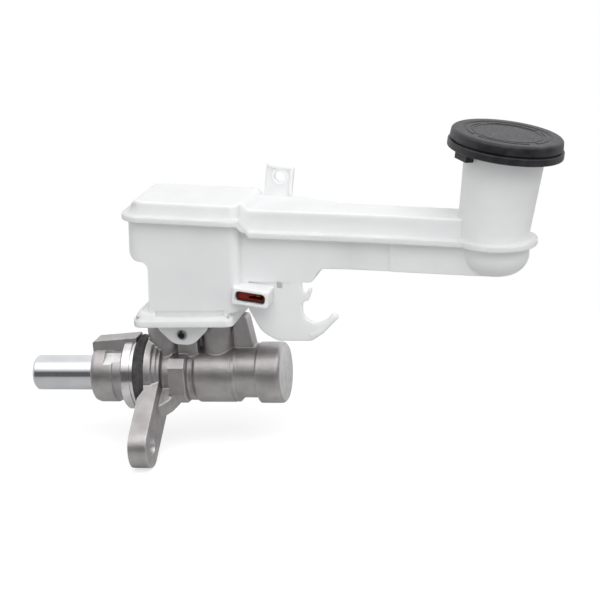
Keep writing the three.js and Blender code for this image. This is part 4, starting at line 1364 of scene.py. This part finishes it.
def backdrop():
    """White where the camera sees it. Metal and gloss reflect a room that is white behind the object and
    dark behind the camera, brighter overhead; everything else is lit evenly."""
    world = bpy.data.worlds.new("studio")
    bpy.context.scene.world = world
    world.use_nodes = True
    tree = world.node_tree
    tree.nodes.clear()

    def node(kind, **settings):
        made = tree.nodes.new(kind)
        for key, value in settings.items():
            setattr(made, key, value)
        return made

    def background(color):
        shade = node("ShaderNodeBackground")
        if isinstance(color, float):
            shade.inputs["Color"].default_value = (color, color, color, 1)
        else:
            tree.links.new(color, shade.inputs["Color"])
        return shade.outputs["Background"]

    def choose(switch, first, second):
        mix = node("ShaderNodeMixShader")
        tree.links.new(switch, mix.inputs["Fac"])
        tree.links.new(first, mix.inputs[1])
        tree.links.new(second, mix.inputs[2])
        return mix.outputs["Shader"]

    def along(vector):
        """How far the view direction points along a vector, from 0 (away) to 1."""
        dot = node("ShaderNodeVectorMath", operation="DOT_PRODUCT")
        tree.links.new(coordinates.outputs["Generated"], dot.inputs[0])
        dot.inputs[1].default_value = vector
        half = node("ShaderNodeMapRange")
        half.inputs["From Min"].default_value = -1
        tree.links.new(dot.outputs["Value"], half.inputs["Value"])
        return half.outputs["Result"]

    coordinates = node("ShaderNodeTexCoord")
    height = along((0, 0, 1))
    toward_camera = gray_ramp(tree, along(Vector((back.x, back.y, 0)).normalized()), CAMERA_SIDE)
    mix = node("ShaderNodeMixRGB")
    tree.links.new(toward_camera, mix.inputs["Fac"])
    tree.links.new(gray_ramp(tree, height, ROOM_BEHIND_OBJECT), mix.inputs["Color1"])
    tree.links.new(gray_ramp(tree, height, ROOM_BEHIND_CAMERA), mix.inputs["Color2"])
    path = node("ShaderNodeLightPath")
    room = choose(path.outputs["Is Glossy Ray"], background(EVEN_LIGHT), background(mix.outputs["Color"]))
    seen = choose(path.outputs["Is Camera Ray"], room, background(BACKDROP_WHITE))
    output = node("ShaderNodeOutputWorld")
    tree.links.new(seen, output.inputs["Surface"])


def floor():
    """A pale floor at the object's lowest point that fades into the backdrop, and glows for the camera."""
    disc = bar("z", size * 4 / MM, -4, 0, (0, 0, 0), 96)
    disc.name = "floor"
    disc.location = (middle.x, middle.y, low.z - 0.0005)
    look = Look("pale_floor", (FLOOR_ALBEDO, FLOOR_ALBEDO, FLOOR_ALBEDO), 0.9)
    distance = look.node("ShaderNodeVectorMath", operation="LENGTH")
    look.link(look.stretched((0.5, 1, 1)), distance.inputs[0])
    fade = look.spread(distance.outputs["Value"], 1.0, 0.0, size * 0.2, size * 0.75)
    look.link(fade, look.shader.inputs["Alpha"])
    path = look.node("ShaderNodeLightPath")
    sheen = look.node("ShaderNodeMath", operation="MULTIPLY")
    look.link(path.outputs["Is Glossy Ray"], sheen.inputs[0])
    sheen.inputs[1].default_value = FLOOR_SHEEN
    glow = look.node("ShaderNodeMath", operation="MULTIPLY_ADD")
    look.link(path.outputs["Is Camera Ray"], glow.inputs[0])
    glow.inputs[1].default_value = FLOOR_GLOW
    look.link(sheen.outputs["Value"], glow.inputs[2])
    look.set("Emission Color", (1, 1, 1, 1))
    look.link(glow.outputs["Value"], look.shader.inputs["Emission Strength"])
    look.bump(look.grain(3), 0.02, 0.1)
    painted(look.material, disc)


camera()
backdrop()
floor()
softbox("top_softbox", middle + Vector((0.1, -0.15, 0.95)), 1.3, 0.9, 0.8)
softbox("front_fill", middle + back * 0.8 + right * 0.25 + up * 0.7, 1.2, 0.9, 7.8)
softbox("back_glow", middle - back * 0.9 + Vector((0, 0, 0.35)), 1.6, 1.0, 0.3)
bpy.context.scene.view_settings.view_transform = "Standard"
